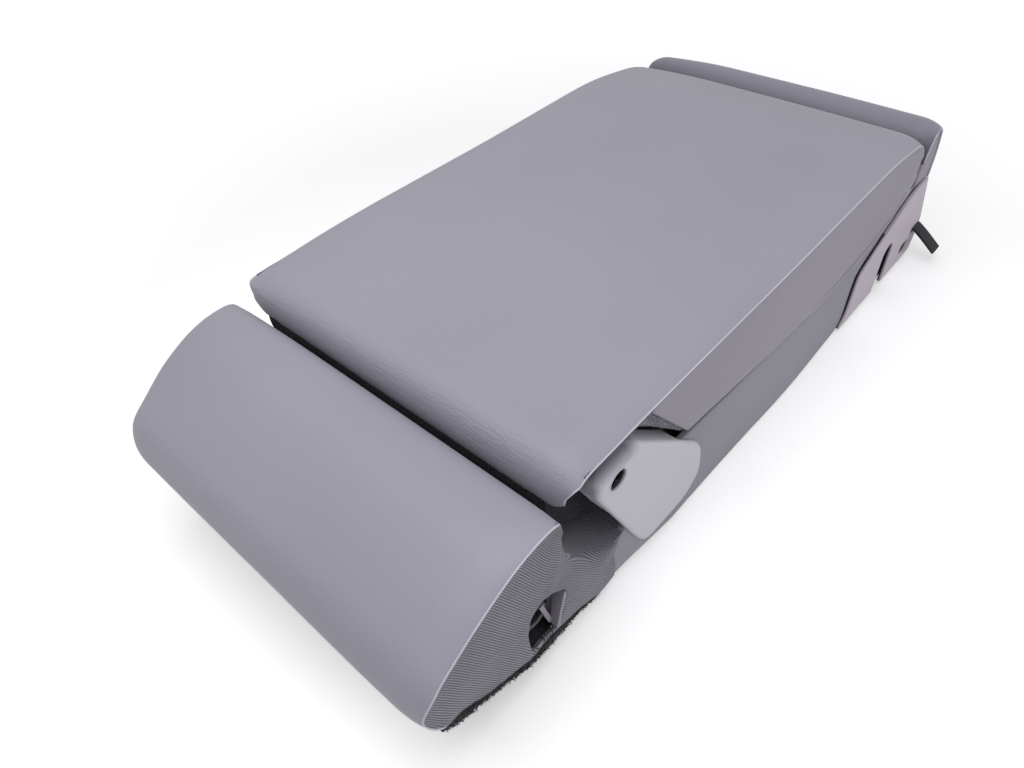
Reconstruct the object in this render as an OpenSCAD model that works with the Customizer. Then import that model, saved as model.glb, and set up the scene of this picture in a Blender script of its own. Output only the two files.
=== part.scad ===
// Rear seat armrest: the centre section of a split seat back with its fold-down armrest, lying on
// its back. X runs across the section, +Y from the lumbar roll to the top end, +Z from the carpeted
// back to the seated face. The origin is the middle of the carpet's underside.

/* [Whole section] */
// Length from the roll's nose to the top end
section_len = 583; // [560:1:640]
// Width across the roll's leather
roll_w = 252; // [246:1:290]
// How far the armrest's leather stays inside the roll's width, each side
arm_inset = 1; // [0:0.5:4]
// How far the side covers stay inside the roll's width, each side
side_inset = 3; // [2:0.5:5]
// Thickness of the leather with its backing
leather_t = 2.5; // [1.5:0.1:3.5]
// Thickness of the lining cloths
cloth_t = 1.6; // [1:0.1:2.4]
// Thickness of the carpet on the back
carpet_t = 3; // [2:0.5:5]
// Gap between neighbouring soft pieces
soft_gap = 0.3; // [0.2:0.05:0.6]

/* [Armrest pivot] */
// Distance from the roll's nose to the pivot axis
nose_to_pivot = 135.5; // [130:0.5:145]
// Height of the pivot axis above the back
pivot_h = 112.5; // [108:0.5:118]
// Radius that the armrest's near end turns in
swing_r = 34; // [32:0.5:36]
// Radius of the pivot pin
pin_r = 5; // [4:0.25:6]
// Running clearance of the pin in its bush
pin_clearance = 0.05; // [0.02:0.01:0.1]
// Wall of the pivot bush
bush_wall = 2.5; // [1.5:0.25:3]
// Thickness of the steel arms in the armrest
arm_t = 3; // [2:0.5:4]
// Thickness of the steel brackets
bracket_t = 3; // [2:0.5:4]
// Radius of the eye around the pivot, on arm and bracket
eye_r = 13; // [11:0.5:14]

/* [Armrest] */
// Height of the armrest's seam above the back
seam_h = 139; // [136:0.5:146]
// Crown of the leather in the middle
arm_crown = 5; // [1:0.5:8]
// Height of the armrest's nose at the far end
nose_h = 110; // [104:1:116]
// Height of the side band's lower edge beside the notch
band_near_h = 88.5; // [84:0.5:92]
// Lowest height of the side band's lower edge
band_low_h = 66.5; // [62:0.5:72]
// Height of the side band's lower edge at the far end
band_far_h = 77.5; // [74:0.5:84]
// Depth of the moulded core's top below the pivot axis
core_drop = 6.5; // [5:0.5:9]
// Wall of the moulded core
core_wall = 3; // [2:0.25:4]
// Number of cross ribs in the core
core_ribs = 6; // [3:1:9]
// Thickness of the underside panel
panel_t = 2.5; // [2:0.25:3.5]

/* [Roll] */
// Depth of the roll from its nose to its back edge
roll_depth = 92.5; // [88:0.5:96]
// Height of the roll's top edge
roll_h = 127.5; // [122:0.5:134]
// Crown of the roll's leather in the middle
roll_crown = 3; // [1:0.5:5]
// Height of the roll's nose
roll_nose_h = 78; // [72:1:84]

/* [Top cushion and end cap] */
// Depth of the top cushion
strip_depth = 31; // [26:1:36]
// Height of the top cushion
strip_h = 134.5; // [130:0.5:140]
// How far the end cap slopes out beyond the top cushion
cap_slope = 30; // [24:1:36]
// How far the end cap reaches along the side, back from the top cushion's far edge
cap_len = 104; // [100:1:108]
// Height at which the end cap meets the top cushion
cap_top_h = 85; // [80:1:90]
// Wall of the end cap
cap_wall = 2.5; // [2:0.25:3.5]
// Width of the striker slot
slot_w = 18; // [14:1:22]
// Height of the striker slot's top above the back
slot_top_h = 45; // [40:1:50]

/* [Frame] */
// Radius of the frame tube
tube_r = 10; // [8:0.5:12]
// Distance of the side tubes from the middle
tube_x = 99; // [95:1:102]
// Height of the tube's middle above the back
tube_h = 22; // [18:1:26]
// Distance of the lower cross rail from the pivot axis
pivot_to_rail = 70; // [60:1:80]
// Distance of the upper cross rail from the far end
rail_to_end = 110; // [100:1:120]
// Radius of the frame's bends
bend_r = 32; // [24:1:40]
// Thickness of the pressed back pan
pan_t = 1.5; // [1:0.25:2]
// Thickness of the board behind the armrest
board_t = 3; // [2:0.5:4]
// Radius of the bore in the lower hinge bracket
hinge_bore_r = 5.1; // [4:0.1:7]
// Height of the lower hinge axis above the back
hinge_h = 50; // [46:1:54]
// Distance of the lower hinge axis from the roll's nose
nose_to_hinge = 81; // [77:1:85]

/* [Strap] */
// Width of the webbing
strap_w = 14; // [10:1:18]
// Thickness of the webbing
strap_t = 1.6; // [1:0.2:2.4]

/* [Hidden] */
left = -1;
right = 1;
fit = 0.3;
eps = 0.01;
blend_steps = 5;
fine = 48;

// Stations across the width, as shares of the half width
stations = [-1, -0.93, -0.78, -0.45, 0, 0.45, 0.78, 0.93, 1];
crown_power = 3;

// Places along the section
near_y = -section_len / 2;
far_y = section_len / 2;
pivot_y = near_y + nose_to_pivot;
roll_back_y = near_y + roll_depth;
strip_far_y = far_y - cap_slope;
strip_y = strip_far_y - strip_depth - 2;
nose_gap = 2;
nose_y = strip_y - nose_gap;
hinge_y = near_y + nose_to_hinge;
slope_y = pivot_y - 4;
tuck_y = pivot_y + 8;
notch_y = pivot_y + 67;
lip_y = pivot_y + 28;

// Half widths, from the outside in
roll_hw = roll_w / 2;
arm_hw = roll_hw - arm_inset;
side_hw = roll_hw - side_inset;
ear_hw = roll_hw;
ear_t = 2.6;
lining_hw = side_hw - leather_t - soft_gap;
bracket_in = tube_x + tube_r + fit;
bracket_out = bracket_in + bracket_t;
arm_out = bracket_in - 3.3;
arm_in = arm_out - arm_t;
core_hw = arm_in - fit;
gusset_out = bracket_in - fit;
band_out = arm_hw - 0.4;
band_in = band_out - leather_t - soft_gap;
gusset_t = 1;
flange_r = 10.5;
flange_t = 1.5;
bush_r = pin_r + pin_clearance + bush_wall;
press = 0.02;

// Armrest outline
overhang_h = pivot_h + 20.5;
core_top_h = pivot_h - core_drop;
near_face_y = pivot_y - swing_r + 1.5;
arm_end_y = notch_y + 50;
rest_gap = 4.5;

// Maths for outlines in the lengthwise plane, as [y, z]
function unit(v) = v / norm(v);
function flat(c) = [c[0], c[1]];
function corner(a, b, c, cut) =
    let (p = b + unit(a - b) * cut, q = b + unit(c - b) * cut)
    [for (k = [0:blend_steps])
        let (s = k / blend_steps)
        (1 - s) * (1 - s) * p + 2 * s * (1 - s) * b + s * s * q];
function is_end(i, n) = i == 0 || i == n - 1;
// Outline through corners [y, z, cut], each rounded from cut before it to cut after it
function rounded(c, closed) =
    let (n = len(c))
    [for (i = [0:n - 1])
        each ((!closed && is_end(i, n)) || c[i][2] == 0)
            ? [flat(c[i])]
            : corner(flat(c[(i + n - 1) % n]), flat(c[i]), flat(c[(i + 1) % n]), c[i][2])];
function tangent(c, i, closed) =
    let (n = len(c))
    closed
        ? unit(c[(i + 1) % n] - c[(i + n - 1) % n])
        : unit(c[min(i + 1, n - 1)] - c[max(i - 1, 0)]);
function left_of(t) = [-t[1], t[0]];
// Outline moved by d to the left of its direction
function moved(c, d, closed = false) =
    [for (i = [0:len(c) - 1]) c[i] + left_of(tangent(c, i, closed)) * d];
function reversed(c) = [for (i = [len(c) - 1:-1:0]) c[i]];
function along(from, to, share) = from + (to - from) * share;
function crown_at(x, hw) = 1 - pow(abs(x) / hw, crown_power);
// Share of the crown along an outline: none at its ends
function ramp(i, n) = let (s = i / (n - 1)) min(1, pow(4.6 * s * (1 - s), 1.6));
// Outline pushed outward by the crown and inward by the depth
function swollen(c, crown, depth) =
    [for (i = [0:len(c) - 1])
        c[i] + left_of(tangent(c, i, false)) * (crown * ramp(i, len(c)) - depth)];
function at_x(x, c) = [for (p = c) [x, p[0], p[1]]];
function arc(y, z, r, a0, a1, steps) =
    [for (k = [0:steps]) let (a = a0 + (a1 - a0) * k / steps) [y + r * cos(a), z + r * sin(a)]];

// Triangles that close a cross section whose first top_count points are its upper side
function lower_index(i, n, top_count) = n - 1 - floor(i * (n - top_count - 1) / (top_count - 1));
function end_face(n, top_count) =
    [for (i = [0:top_count - 2])
        let (a = lower_index(i, n, top_count), b = lower_index(i + 1, n, top_count))
        each a == b ? [[i, i + 1, b]] : [[i, i + 1, b], [i, b, a]]];

// Solid through cross sections that all have the same number of points, top_count of them above
module loft(sections, top_count) {
    n = len(sections[0]);
    m = len(sections);
    points = [for (s = sections) each s];
    walls = [for (j = [0:m - 2])
        for (i = [0:n - 1])
            each [
                [j * n + i, j * n + (i + 1) % n, (j + 1) * n + (i + 1) % n],
                [j * n + i, (j + 1) * n + (i + 1) % n, (j + 1) * n + i]
            ]];
    closing = end_face(n, top_count);
    start = [for (f = closing) [f[2], f[1], f[0]]];
    end = [for (f = closing) [for (i = f) (m - 1) * n + i]];
    polyhedron(points, concat(start, walls, end), convexity = 8);
}

// Leather or cloth of thickness t over an outline, crowned across the width
module crowned_sheet(outline, hw, crown, t) {
    loft([for (s = stations)
        let (x = s * hw, c = crown * crown_at(x, hw))
        at_x(x, concat(swollen(outline, c, 0), reversed(swollen(outline, c, t))))], len(outline));
}

// Foam under such a sheet, closed below by the base points, without the outline's last points
module crowned_foam(outline, hw, fill_hw, crown, depth, base, left_out = 0) {
    count = len(outline) - left_out;
    loft([for (s = stations)
        let (x = s * fill_hw, c = crown * crown_at(x, hw), upper = swollen(outline, c, depth))
        at_x(x, concat([for (i = [0:count - 1]) upper[i]], base))], count);
}

// Prism of a lengthwise outline between two places across the width
module prism(outline, x0, x1) {
    translate([min(x0, x1), 0, 0])
        rotate([90, 0, 90])
            linear_extrude(abs(x1 - x0))
                polygon(outline);
}

module plate(outline, side, x0, x1) {
    prism(outline, side * x0, side * x1);
}

// Round bar across the width
module bar(r, side, x0, x1, y, z) {
    translate([min(side * x0, side * x1), y, z])
        rotate([0, 90, 0])
            cylinder(r = r, h = abs(x1 - x0), $fn = fine);
}

module box(x0, x1, y0, y1, z0, z1) {
    translate([min(x0, x1), y0, z0])
        cube([abs(x1 - x0), y1 - y0, z1 - z0]);
}

// Band of thickness t to the left of an open outline
function band(c, t) = concat(reversed(moved(c, t)), c);

// Main outlines, all running from the roll to the top end
roll_curve = rounded([
    [near_y + 12, roll_nose_h - 18, 0],
    [near_y + 1.5, roll_nose_h - 6, 8],
    [near_y + 8, roll_nose_h + 16, 11],
    [near_y + 39, roll_h - 13, 14],
    [near_y + 69, roll_h + 1, 16],
    [roll_back_y, roll_h, 6],
    [roll_back_y + 2, roll_h - 12, 0]
], false);
valley_curve = rounded([
    [roll_back_y + 2.2, roll_h - 12.5, 0],
    [roll_back_y + 4, roll_h - 26, 6],
    [roll_back_y + 10, roll_h - 47, 12],
    [roll_back_y + 32, roll_h - 76, 10],
    [tuck_y + 2, roll_h - 79, 8],
    [lip_y - 4, pivot_h - 55, 0]
], false);
arm_curve = rounded([
    [near_face_y, pivot_h + 14.5, 0],
    [near_face_y + 1, seam_h - 1, 10],
    [lip_y, seam_h + 1, 20],
    [along(notch_y, nose_y, 0.35), seam_h + 0.5, 20],
    [along(notch_y, nose_y, 0.76), seam_h + 2.5, 20],
    [nose_y - 18, seam_h - 4, 14],
    [nose_y, nose_h, 8],
    [nose_y - 21, band_far_h + 9, 0]
], false);
// Lower edge of the armrest's side band
band_edge = rounded([
    [notch_y, band_near_h, 0],
    [along(notch_y, nose_y, 0.36), along(band_near_h, band_low_h, 0.66), 20],
    [along(notch_y, nose_y, 0.57), band_low_h, 20],
    [along(notch_y, nose_y, 0.76), band_low_h + 3, 20],
    [nose_y - 31, band_far_h, 8],
    [nose_y - 21, band_far_h + 9, 0]
], false);
// Top of the section, under the armrest
base_top = concat(
    [[lip_y - 2, pivot_h - 54]],
    rounded([
        [lip_y - 1, pivot_h - 53.5, 0],
        [notch_y - 10, band_near_h - rest_gap - 4, 8],
        [along(notch_y, nose_y, 0.36), along(band_near_h, band_low_h, 0.66) - rest_gap, 20],
        [along(notch_y, nose_y, 0.57), band_low_h - rest_gap, 20],
        [along(notch_y, nose_y, 0.76), band_low_h + 3 - rest_gap, 20],
        [nose_y - 28, band_far_h - rest_gap, 8],
        [strip_y - 10, nose_h - 16, 8],
        [strip_y - 1, nose_h - 4, 0]
    ], false)
);
strip_curve = rounded([
    [strip_y, nose_h - 2, 0],
    [strip_y + 0.5, strip_h, 6],
    [strip_far_y - 12, strip_h + 0.5, 12],
    [strip_far_y - 2, along(cap_top_h, strip_h, 0.5), 8],
    [strip_far_y, cap_top_h + 1, 0]
], false);
// Underside of the carpet, from the roll's nose to the top end
carpet_curve = rounded([
    [near_y + 13.5, roll_nose_h - 20.5, 0],
    [slope_y, 0, 16],
    [far_y - 8, 0, 0]
], false);
slope_top = moved(carpet_curve, carpet_t + soft_gap);

// Outline of the end cap's side
cap_edge = rounded([
    [far_y - 5, carpet_t + soft_gap, 4],
    [far_y, 15, 6],
    [far_y - 1, 32, 8],
    [strip_far_y + 1, cap_top_h, 3],
    [strip_far_y - 26, cap_top_h - 3, 14],
    [strip_far_y - 70, cap_top_h - 20, 14],
    [strip_far_y - cap_len, cap_top_h - 36, 8],
    [strip_far_y - cap_len - 2, carpet_t + soft_gap + 8, 8],
    [strip_far_y - cap_len - 10, carpet_t + soft_gap, 0]
], true);
slot_y = strip_far_y - 44;
strap_y = far_y - 11;
strap_h = 28;

module carpet() {
    color("#26262b")
        difference() {
            prism(band(carpet_curve, carpet_t), -roll_hw + 1, roll_hw - 1);
            striker_mouth(carpet_t + 1);
        }
}

// Space that the neighbouring seat's striker passes through
module striker_mouth(top) {
    box(bracket_in - 4, roll_hw + 10, slot_y - slot_w / 2, slot_y + slot_w / 2, -1, top);
}

pan_z = carpet_t + fit;
pan_near_y = slope_y + 10;
pan_far_y = far_y - 12;
pan_hw = tube_x + 9;
module back_pan() {
    color("#3a3c40")
        difference() {
            union() {
                box(-pan_hw, pan_hw, pan_near_y, pan_far_y, pan_z, pan_z + pan_t);
                for (x = [-55, 0, 55])
                    intersection() {
                        translate([x, 0, pan_z + pan_t - 2])
                            rotate([90, 0, 0])
                                cylinder(r = 7, h = section_len, center = true, $fn = fine);
                        box(x - 7, x + 7, pan_near_y + 60, pan_far_y - 70, pan_z + pan_t - eps, 14);
                    }
            }
            striker_mouth(pan_z + pan_t + 1);
        }
}

tube_near_y = pan_near_y + tube_r + 2;
tube_far_y = far_y - 48;
module bend(x, y, turn) {
    translate([x, y, tube_h])
        rotate([0, 0, turn])
            rotate_extrude(angle = 90, $fn = fine)
                translate([bend_r, 0, 0])
                    circle(r = tube_r, $fn = fine);
}

module frame_tube() {
    bend_x = tube_x - bend_r;
    near_bend_y = tube_near_y + bend_r;
    far_bend_y = tube_far_y - bend_r;
    color("#2f3136")
        union() {
            for (side = [left, right])
                translate([side * tube_x, near_bend_y, tube_h])
                    rotate([-90, 0, 0])
                        cylinder(r = tube_r, h = far_bend_y - near_bend_y, $fn = fine);
            for (y = [tube_near_y, tube_far_y])
                bar(tube_r, right, -bend_x, bend_x, y, tube_h);
            bend(bend_x, far_bend_y, 0);
            bend(-bend_x, far_bend_y, 90);
            bend(-bend_x, near_bend_y, 180);
            bend(bend_x, near_bend_y, 270);
        }
}

// Channel section rail between the side tubes
rail_w = 34;
rail_t = 2;
module cross_rail(y) {
    rail_hw = tube_x - tube_r - fit;
    z0 = pan_z + pan_t + 6;
    z1 = tube_h + tube_r;
    color("#3a3c40")
        difference() {
            box(-rail_hw, rail_hw, y - rail_w / 2, y + rail_w / 2, z0, z1);
            box(-rail_hw - 1, rail_hw + 1, y - rail_w / 2 + rail_t, y + rail_w / 2 - rail_t, z0 - 1, z1 - rail_t);
            for (x = [-60, -20, 20, 60])
                translate([x, y, z1 - rail_t - 1])
                    cylinder(r = 8, h = rail_t + 2, $fn = fine);
        }
}

lower_rail_y = pivot_y + pivot_to_rail;
upper_rail_y = far_y - rail_to_end;
module cross_rail_lower() {
    cross_rail(lower_rail_y);
}

module cross_rail_upper() {
    cross_rail(upper_rail_y);
}

// Lower fold hinge of the section
hinge_eye_r = 13;
hinge_boss_r = 8.5;
hinge_boss_len = 6;
module hinge_bracket(side) {
    root_y = tube_near_y + bend_r;
    leg = rounded([
        [hinge_y - 6, hinge_h - 11, 0],
        [root_y - 20, tube_h - 8, 4],
        [root_y + 22, tube_h - 8, 3],
        [root_y + 22, tube_h + 8, 5],
        [root_y - 8, tube_h + 12, 10],
        [hinge_y + 6, hinge_h + 11, 0]
    ], true);
    color("#8d9096")
        difference() {
            union() {
                plate(leg, side, bracket_in, bracket_out);
                bar(hinge_eye_r, side, bracket_in, bracket_out, hinge_y, hinge_h);
                bar(hinge_boss_r, side, bracket_out - eps, bracket_out + hinge_boss_len, hinge_y, hinge_h);
                box(side * bracket_in, side * (bracket_out + 5), hinge_y + hinge_eye_r - 3, hinge_y + hinge_eye_r,
                    hinge_h - 14, hinge_h + 6);
            }
            bar(hinge_bore_r, side, bracket_in - 1, bracket_out + hinge_boss_len + 1, hinge_y, hinge_h);
        }
}

// Bracket that carries the armrest's pivot, on the outside of the side tube
relief_r = 9;
module pivot_bracket(side) {
    leg = rounded([
        [pivot_y - 9, pivot_h - 9, 0],
        [pivot_y + 70, tube_h + 20, 6],
        [pivot_y + 84, tube_h - 8, 4],
        [pivot_y + 120, tube_h - 8, 4],
        [pivot_y + 116, tube_h + 14, 10],
        [pivot_y + 74, pivot_h - 40, 16],
        [pivot_y + 9, pivot_h + 9, 0]
    ], true);
    color("#8d9096")
        difference() {
            union() {
                plate(leg, side, bracket_in, bracket_out);
                bar(eye_r, side, bracket_in, bracket_out, pivot_y, pivot_h);
            }
            bar(pin_r + press, side, bracket_in - 1, bracket_out + 1, pivot_y, pivot_h);
            bar(relief_r, side, bracket_in - 1, bracket_out + 1, pivot_y + 54, pivot_h - 43);
        }
}

pin_head_r = 6.5;
pin_head_t = 4;
pin_depth = 2;
socket_r = 3.2;
module pivot_pin(side) {
    tip = arm_in - pin_depth;
    head = bracket_out + fit;
    color("#55585e")
        difference() {
            union() {
                bar(pin_r, side, tip, head + eps, pivot_y, pivot_h);
                bar(pin_head_r, side, head, head + pin_head_t, pivot_y, pivot_h);
            }
            translate([side * (head + pin_head_t), pivot_y, pivot_h])
                rotate([0, 90, 0])
                    cylinder(r = socket_r, h = 2 * (pin_head_t - 1), center = true, $fn = 6);
        }
}

// Moulded cover over the pivot bracket
ear_hole_r = 5;
ear_top_h = pivot_h + 8.5;
ear_outline = rounded([
    [pivot_y - 18.5, ear_top_h - 1, 7],
    [pivot_y + 18, ear_top_h, 8],
    [pivot_y + 57, pivot_h - 23, 8],
    [pivot_y + 88, pivot_h - 52, 12],
    [pivot_y + 92, pivot_h - 80, 8],
    [pivot_y + 78, pivot_h - 93, 8],
    [pivot_y + 34, pivot_h - 93, 10],
    [pivot_y + 22, pivot_h - 72, 6]
], true);
ear_wall = 2.2;
ear_rim_in = bracket_out + fit;
ear_rim_low = pivot_h - 31;
module ear_cover(side) {
    plate_in = ear_hw - ear_t;
    inner = moved(ear_outline, -ear_wall, true);
    color("#a9a7b4")
        difference() {
            plate(ear_outline, side, ear_rim_in, ear_hw);
            plate(inner, side, ear_rim_in - 1, plate_in);
            box(side * (ear_rim_in - 1), side * (side_hw + soft_gap), near_y, far_y, -1, ear_rim_low);
            bar(ear_hole_r, side, ear_rim_in, ear_hw + 1, pivot_y, pivot_h);
            ear_bevel(side);
            bar(pin_head_r + fit, side, ear_rim_in - 1, ear_rim_in + pin_head_t + fit, pivot_y, pivot_h);
        }
}

// The ear's top edge leans in towards the armrest
bevel_depth = 5;
module ear_bevel(side) {
    for (k = [1:3]) {
        drop = bevel_depth * (1 - sqrt(1 - pow((k - 0.5) / 3, 2)));
        step_in = bevel_depth * (k - 0.5) / 3;
        box(side * (ear_hw - bevel_depth + step_in), side * (ear_hw + 1), near_y, pivot_y + 26,
            ear_top_h - drop, ear_top_h + 1);
    }
}

// Foam of the section, around frame and brackets
foam_near_y = tuck_y - 4;
module section_foam() {
    top = moved(base_top, -board_t - 2 * soft_gap);
    low = pan_z + pan_t + 0.5;
    foam_far = strip_far_y - 8;
    outline = concat(
        [[foam_near_y, low], [foam_near_y, pivot_h - 68]],
        top,
        [[strip_y - 1 + board_t, cap_top_h + 2], [foam_far, cap_top_h + 2], [far_y - 24, 36], [far_y - 24, low]]
    );
    channel_in = tube_x - tube_r - 1;
    color("#c9b98a")
        difference() {
            prism(reversed(outline), -lining_hw + 2, lining_hw - 2);
            for (side = [left, right]) {
                box(side * channel_in, side * (bracket_out + 1), foam_near_y - 1, tube_far_y - 8, low - 1,
                    tube_h + tube_r + 1);
                box(side * (bracket_in - 1), side * (lining_hw + 1), foam_near_y - 1, pivot_y + 122, low - 1, pivot_h);
            }
            box(-channel_in - 1, channel_in + 1, foam_near_y - 1, tube_near_y + tube_r + 1, low - 1,
                tube_h + tube_r + 1);
            box(-tube_x - tube_r, tube_x + tube_r, tube_far_y - tube_r - bend_r, tube_far_y + tube_r + 1, low - 1,
                tube_h + tube_r + 1);
            box(-tube_x - tube_r, tube_x + tube_r, foam_near_y - 1, tube_near_y + bend_r, low - 1,
                tube_h + tube_r + 1);
            for (y = [lower_rail_y, upper_rail_y])
                box(-channel_in - 1, channel_in + 1, y - rail_w / 2 - 0.5, y + rail_w / 2 + 0.5, low - 1,
                    tube_h + tube_r + 0.5);
            for (x = [-55, 0, 55])
                box(x - 8, x + 8, foam_near_y - 1, far_y, low - 1, pan_z + 8);
            latch_room();
        }
}

module latch_room() {
    box(tube_x - 2, roll_hw, slot_y - slot_w / 2 - 13, slot_y + 60, 0, slot_top_h + 22);
}

module recess_board() {
    outline = concat(base_top, reversed(moved(base_top, -board_t)));
    color("#3b3b42")
        difference() {
            prism(outline, -lining_hw, lining_hw);
            for (side = [left, right])
                box(side * (bracket_in - 0.5), side * (lining_hw + 1), near_y, pivot_y + 74, 0, pivot_h);
        }
}

// Rubber rests that the folded armrest lies on
buffer_x = 70;
board_rise = 1;
buffer_y = along(notch_y, nose_y, 0.6);
module rest_buffers() {
    board_z = band_low_h - rest_gap + board_rise;
    color("#1c1c1f")
        for (x = [-buffer_x, buffer_x])
            translate([x, buffer_y, board_z])
                cylinder(r1 = 9, r2 = 7, h = rest_gap - soft_gap, $fn = fine);
}

module side_cover(side) {
    floor_z = carpet_t + soft_gap;
    top = base_top;
    cap_clear = moved(cap_edge, -soft_gap, true);
    body = concat(
        [[tuck_y - 2, floor_z], [tuck_y + 2, 14], [tuck_y - 2, 38], [tuck_y + 6, pivot_h - 60]],
        top,
        [[strip_y - 1, cap_top_h + 2], [strip_far_y - 8, cap_top_h + 2], [strip_far_y - 8, floor_z]]
    );
    color("#6f6c79")
        difference() {
            plate(reversed(body), side, lining_hw + soft_gap, side_hw);
            plate(cap_clear, side, lining_hw - 1, side_hw + 1);
        }
}

roll_fill_hw = roll_hw - 5 - soft_gap;
pocket_in = tube_x - 6;
module roll_foam() {
    back = moved(valley_curve, -cloth_t - soft_gap);
    count = len(back);
    base = concat(
        [for (i = [2:count - 9]) back[i]],
        [[tuck_y - 12, pivot_h - 67], [tuck_y - 12, pan_z + pan_t + 1], [slope_y - 2, 6.5]],
        [[near_y + 17.5, roll_nose_h - 17]]
    );
    color("#c9b98a")
        difference() {
            crowned_foam(roll_curve, roll_hw, roll_fill_hw, roll_crown, leather_t + soft_gap, base, 1);
            for (side = [left, right])
                box(side * pocket_in, side * roll_hw, hinge_y - 26, tuck_y, 0, hinge_h + 28);
            box(-tube_x - 12, tube_x + 12, tube_near_y - tube_r - 1, tuck_y, 0, tube_h + tube_r + 1);
        }
}

module roll_cover() {
    color("#8b8996")
        crowned_sheet(roll_curve, roll_hw, roll_crown, leather_t);
}

// Ribbed side cloth of the roll, open at the hinge bracket
side_cloth_out = roll_hw - 1.5;
side_cloth_in = side_cloth_out - cloth_t - 1;
module roll_side(side) {
    seam = moved(roll_curve, -leather_t - soft_gap);
    valley = valley_curve;
    low = [for (p = slope_top) if (p[0] < tuck_y - 4) p];
    outline = concat(
        seam,
        [for (p = valley) if (p[0] < tuck_y) p],
        [[tuck_y - 3, 38], [tuck_y + 1, 14], [tuck_y - 3, carpet_t + 2 * soft_gap]],
        reversed(low)
    );
    hole = rounded([
        [hinge_y - 10, hinge_h - 24, 3],
        [hinge_y + 2, hinge_h - 34, 4],
        [hinge_y + 14, hinge_h - 26, 5],
        [hinge_y + 11, hinge_h + 12, 6],
        [hinge_y + 3, hinge_h + 22, 5],
        [hinge_y - 9, hinge_h + 18, 5]
    ], true);
    color("#55525f")
        difference() {
            plate(reversed(outline), side, side_cloth_in, side_cloth_out);
            plate(hole, side, side_cloth_in - 1, side_cloth_out + 1);
        }
}

module valley_cloth() {
    outline = concat(moved(valley_curve, -cloth_t), reversed(valley_curve));
    color("#2c2b33")
        difference() {
            prism(reversed(outline), -side_cloth_in + soft_gap, side_cloth_in - soft_gap);
            for (side = [left, right])
                box(side * (bracket_in - 0.5), side * roll_hw, pivot_y - 2, lip_y, 0, pivot_h);
        }
}

top_fill_hw = arm_hw - leather_t - 2 * soft_gap;
module top_foam() {
    base = [[strip_far_y - 8, cap_top_h + 3], [strip_y + 4, cap_top_h + 3]];
    color("#c9b98a")
        crowned_foam(strip_curve, arm_hw, top_fill_hw - leather_t, 1.5, leather_t + soft_gap, base);
}

module top_cover() {
    color("#8b8996")
        crowned_sheet(strip_curve, arm_hw, 1.5, leather_t);
}

module top_side(side) {
    seam = moved(strip_curve, -leather_t - soft_gap);
    outline = concat(seam, [[strip_far_y - 3, cap_top_h + 2.6], [strip_y + 3, cap_top_h + 2.6]]);
    color("#7b7884")
        plate(reversed(outline), side, top_fill_hw - leather_t + soft_gap, arm_hw - 0.4);
}

module end_cap() {
    inner = moved(cap_edge, cap_wall, true);
    strap_slot_h = strap_t + 2.4;
    color("#b9aeb6")
        difference() {
            prism(reversed(cap_edge), -arm_hw, arm_hw);
            prism(reversed(inner), -arm_hw + cap_wall, arm_hw - cap_wall);
            box(-arm_hw + cap_wall, arm_hw - cap_wall, near_y, strip_far_y - cap_wall, -1, cap_top_h + 1);
            box(-arm_hw + cap_wall, arm_hw - cap_wall, near_y, far_y - 6, -1, carpet_t + cap_wall + 1);
            striker_slot();
            box(arm_hw - cap_wall - 1, arm_hw + 1, strap_y - strap_w / 2 - 1, strap_y + strap_w / 2 + 1,
                strap_h - strap_slot_h / 2, strap_h + strap_slot_h / 2);
            lock_slot();
        }
}

module striker_slot() {
    r = slot_w / 2;
    box(arm_hw - cap_wall - 1, arm_hw + 1, slot_y - r, slot_y + r, -1, slot_top_h - r);
    bar(r, right, arm_hw - cap_wall - 1, arm_hw + 1, slot_y, slot_top_h - r);
}

// Smaller slot that shows the strap's anchor
module lock_slot() {
    r = 5;
    y0 = far_y - 30;
    y1 = far_y - 24;
    for (y = [y0, y1])
        bar(r, right, arm_hw - cap_wall - 1, arm_hw + 1, y, 17);
    box(arm_hw - cap_wall - 1, arm_hw + 1, y0, y1, 17 - r, 17 + r);
}

// Webbing strap that hangs out of the cap, as [x, z] points of its middle
strap_path = [
    [arm_hw - 10, 28], [arm_hw - 4, 28], [arm_hw + 2, 27.5], [arm_hw + 7, 25], [arm_hw + 11, 20.5],
    [arm_hw + 15, 15], [arm_hw + 19, 9.5], [arm_hw + 23, 5]
];
module pull_strap() {
    path = moved(strap_path, strap_t / 2);
    color("#1b1b20")
        translate([0, strap_y + strap_w / 2, 0])
            rotate([90, 0, 0])
                linear_extrude(strap_w)
                    polygon(concat(path, reversed(moved(path, -strap_t))));
}

// Latch of the section, behind the striker slot on the right
latch_pin_y = slot_y + slot_w / 2 + 11;
latch_pin_h = slot_top_h + 6;
latch_pin_r = 4;
hook_t = 4;
hook_in = bracket_out + fit;
hook_out = hook_in + hook_t;
hook_eye_r = 8.5;
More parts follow.
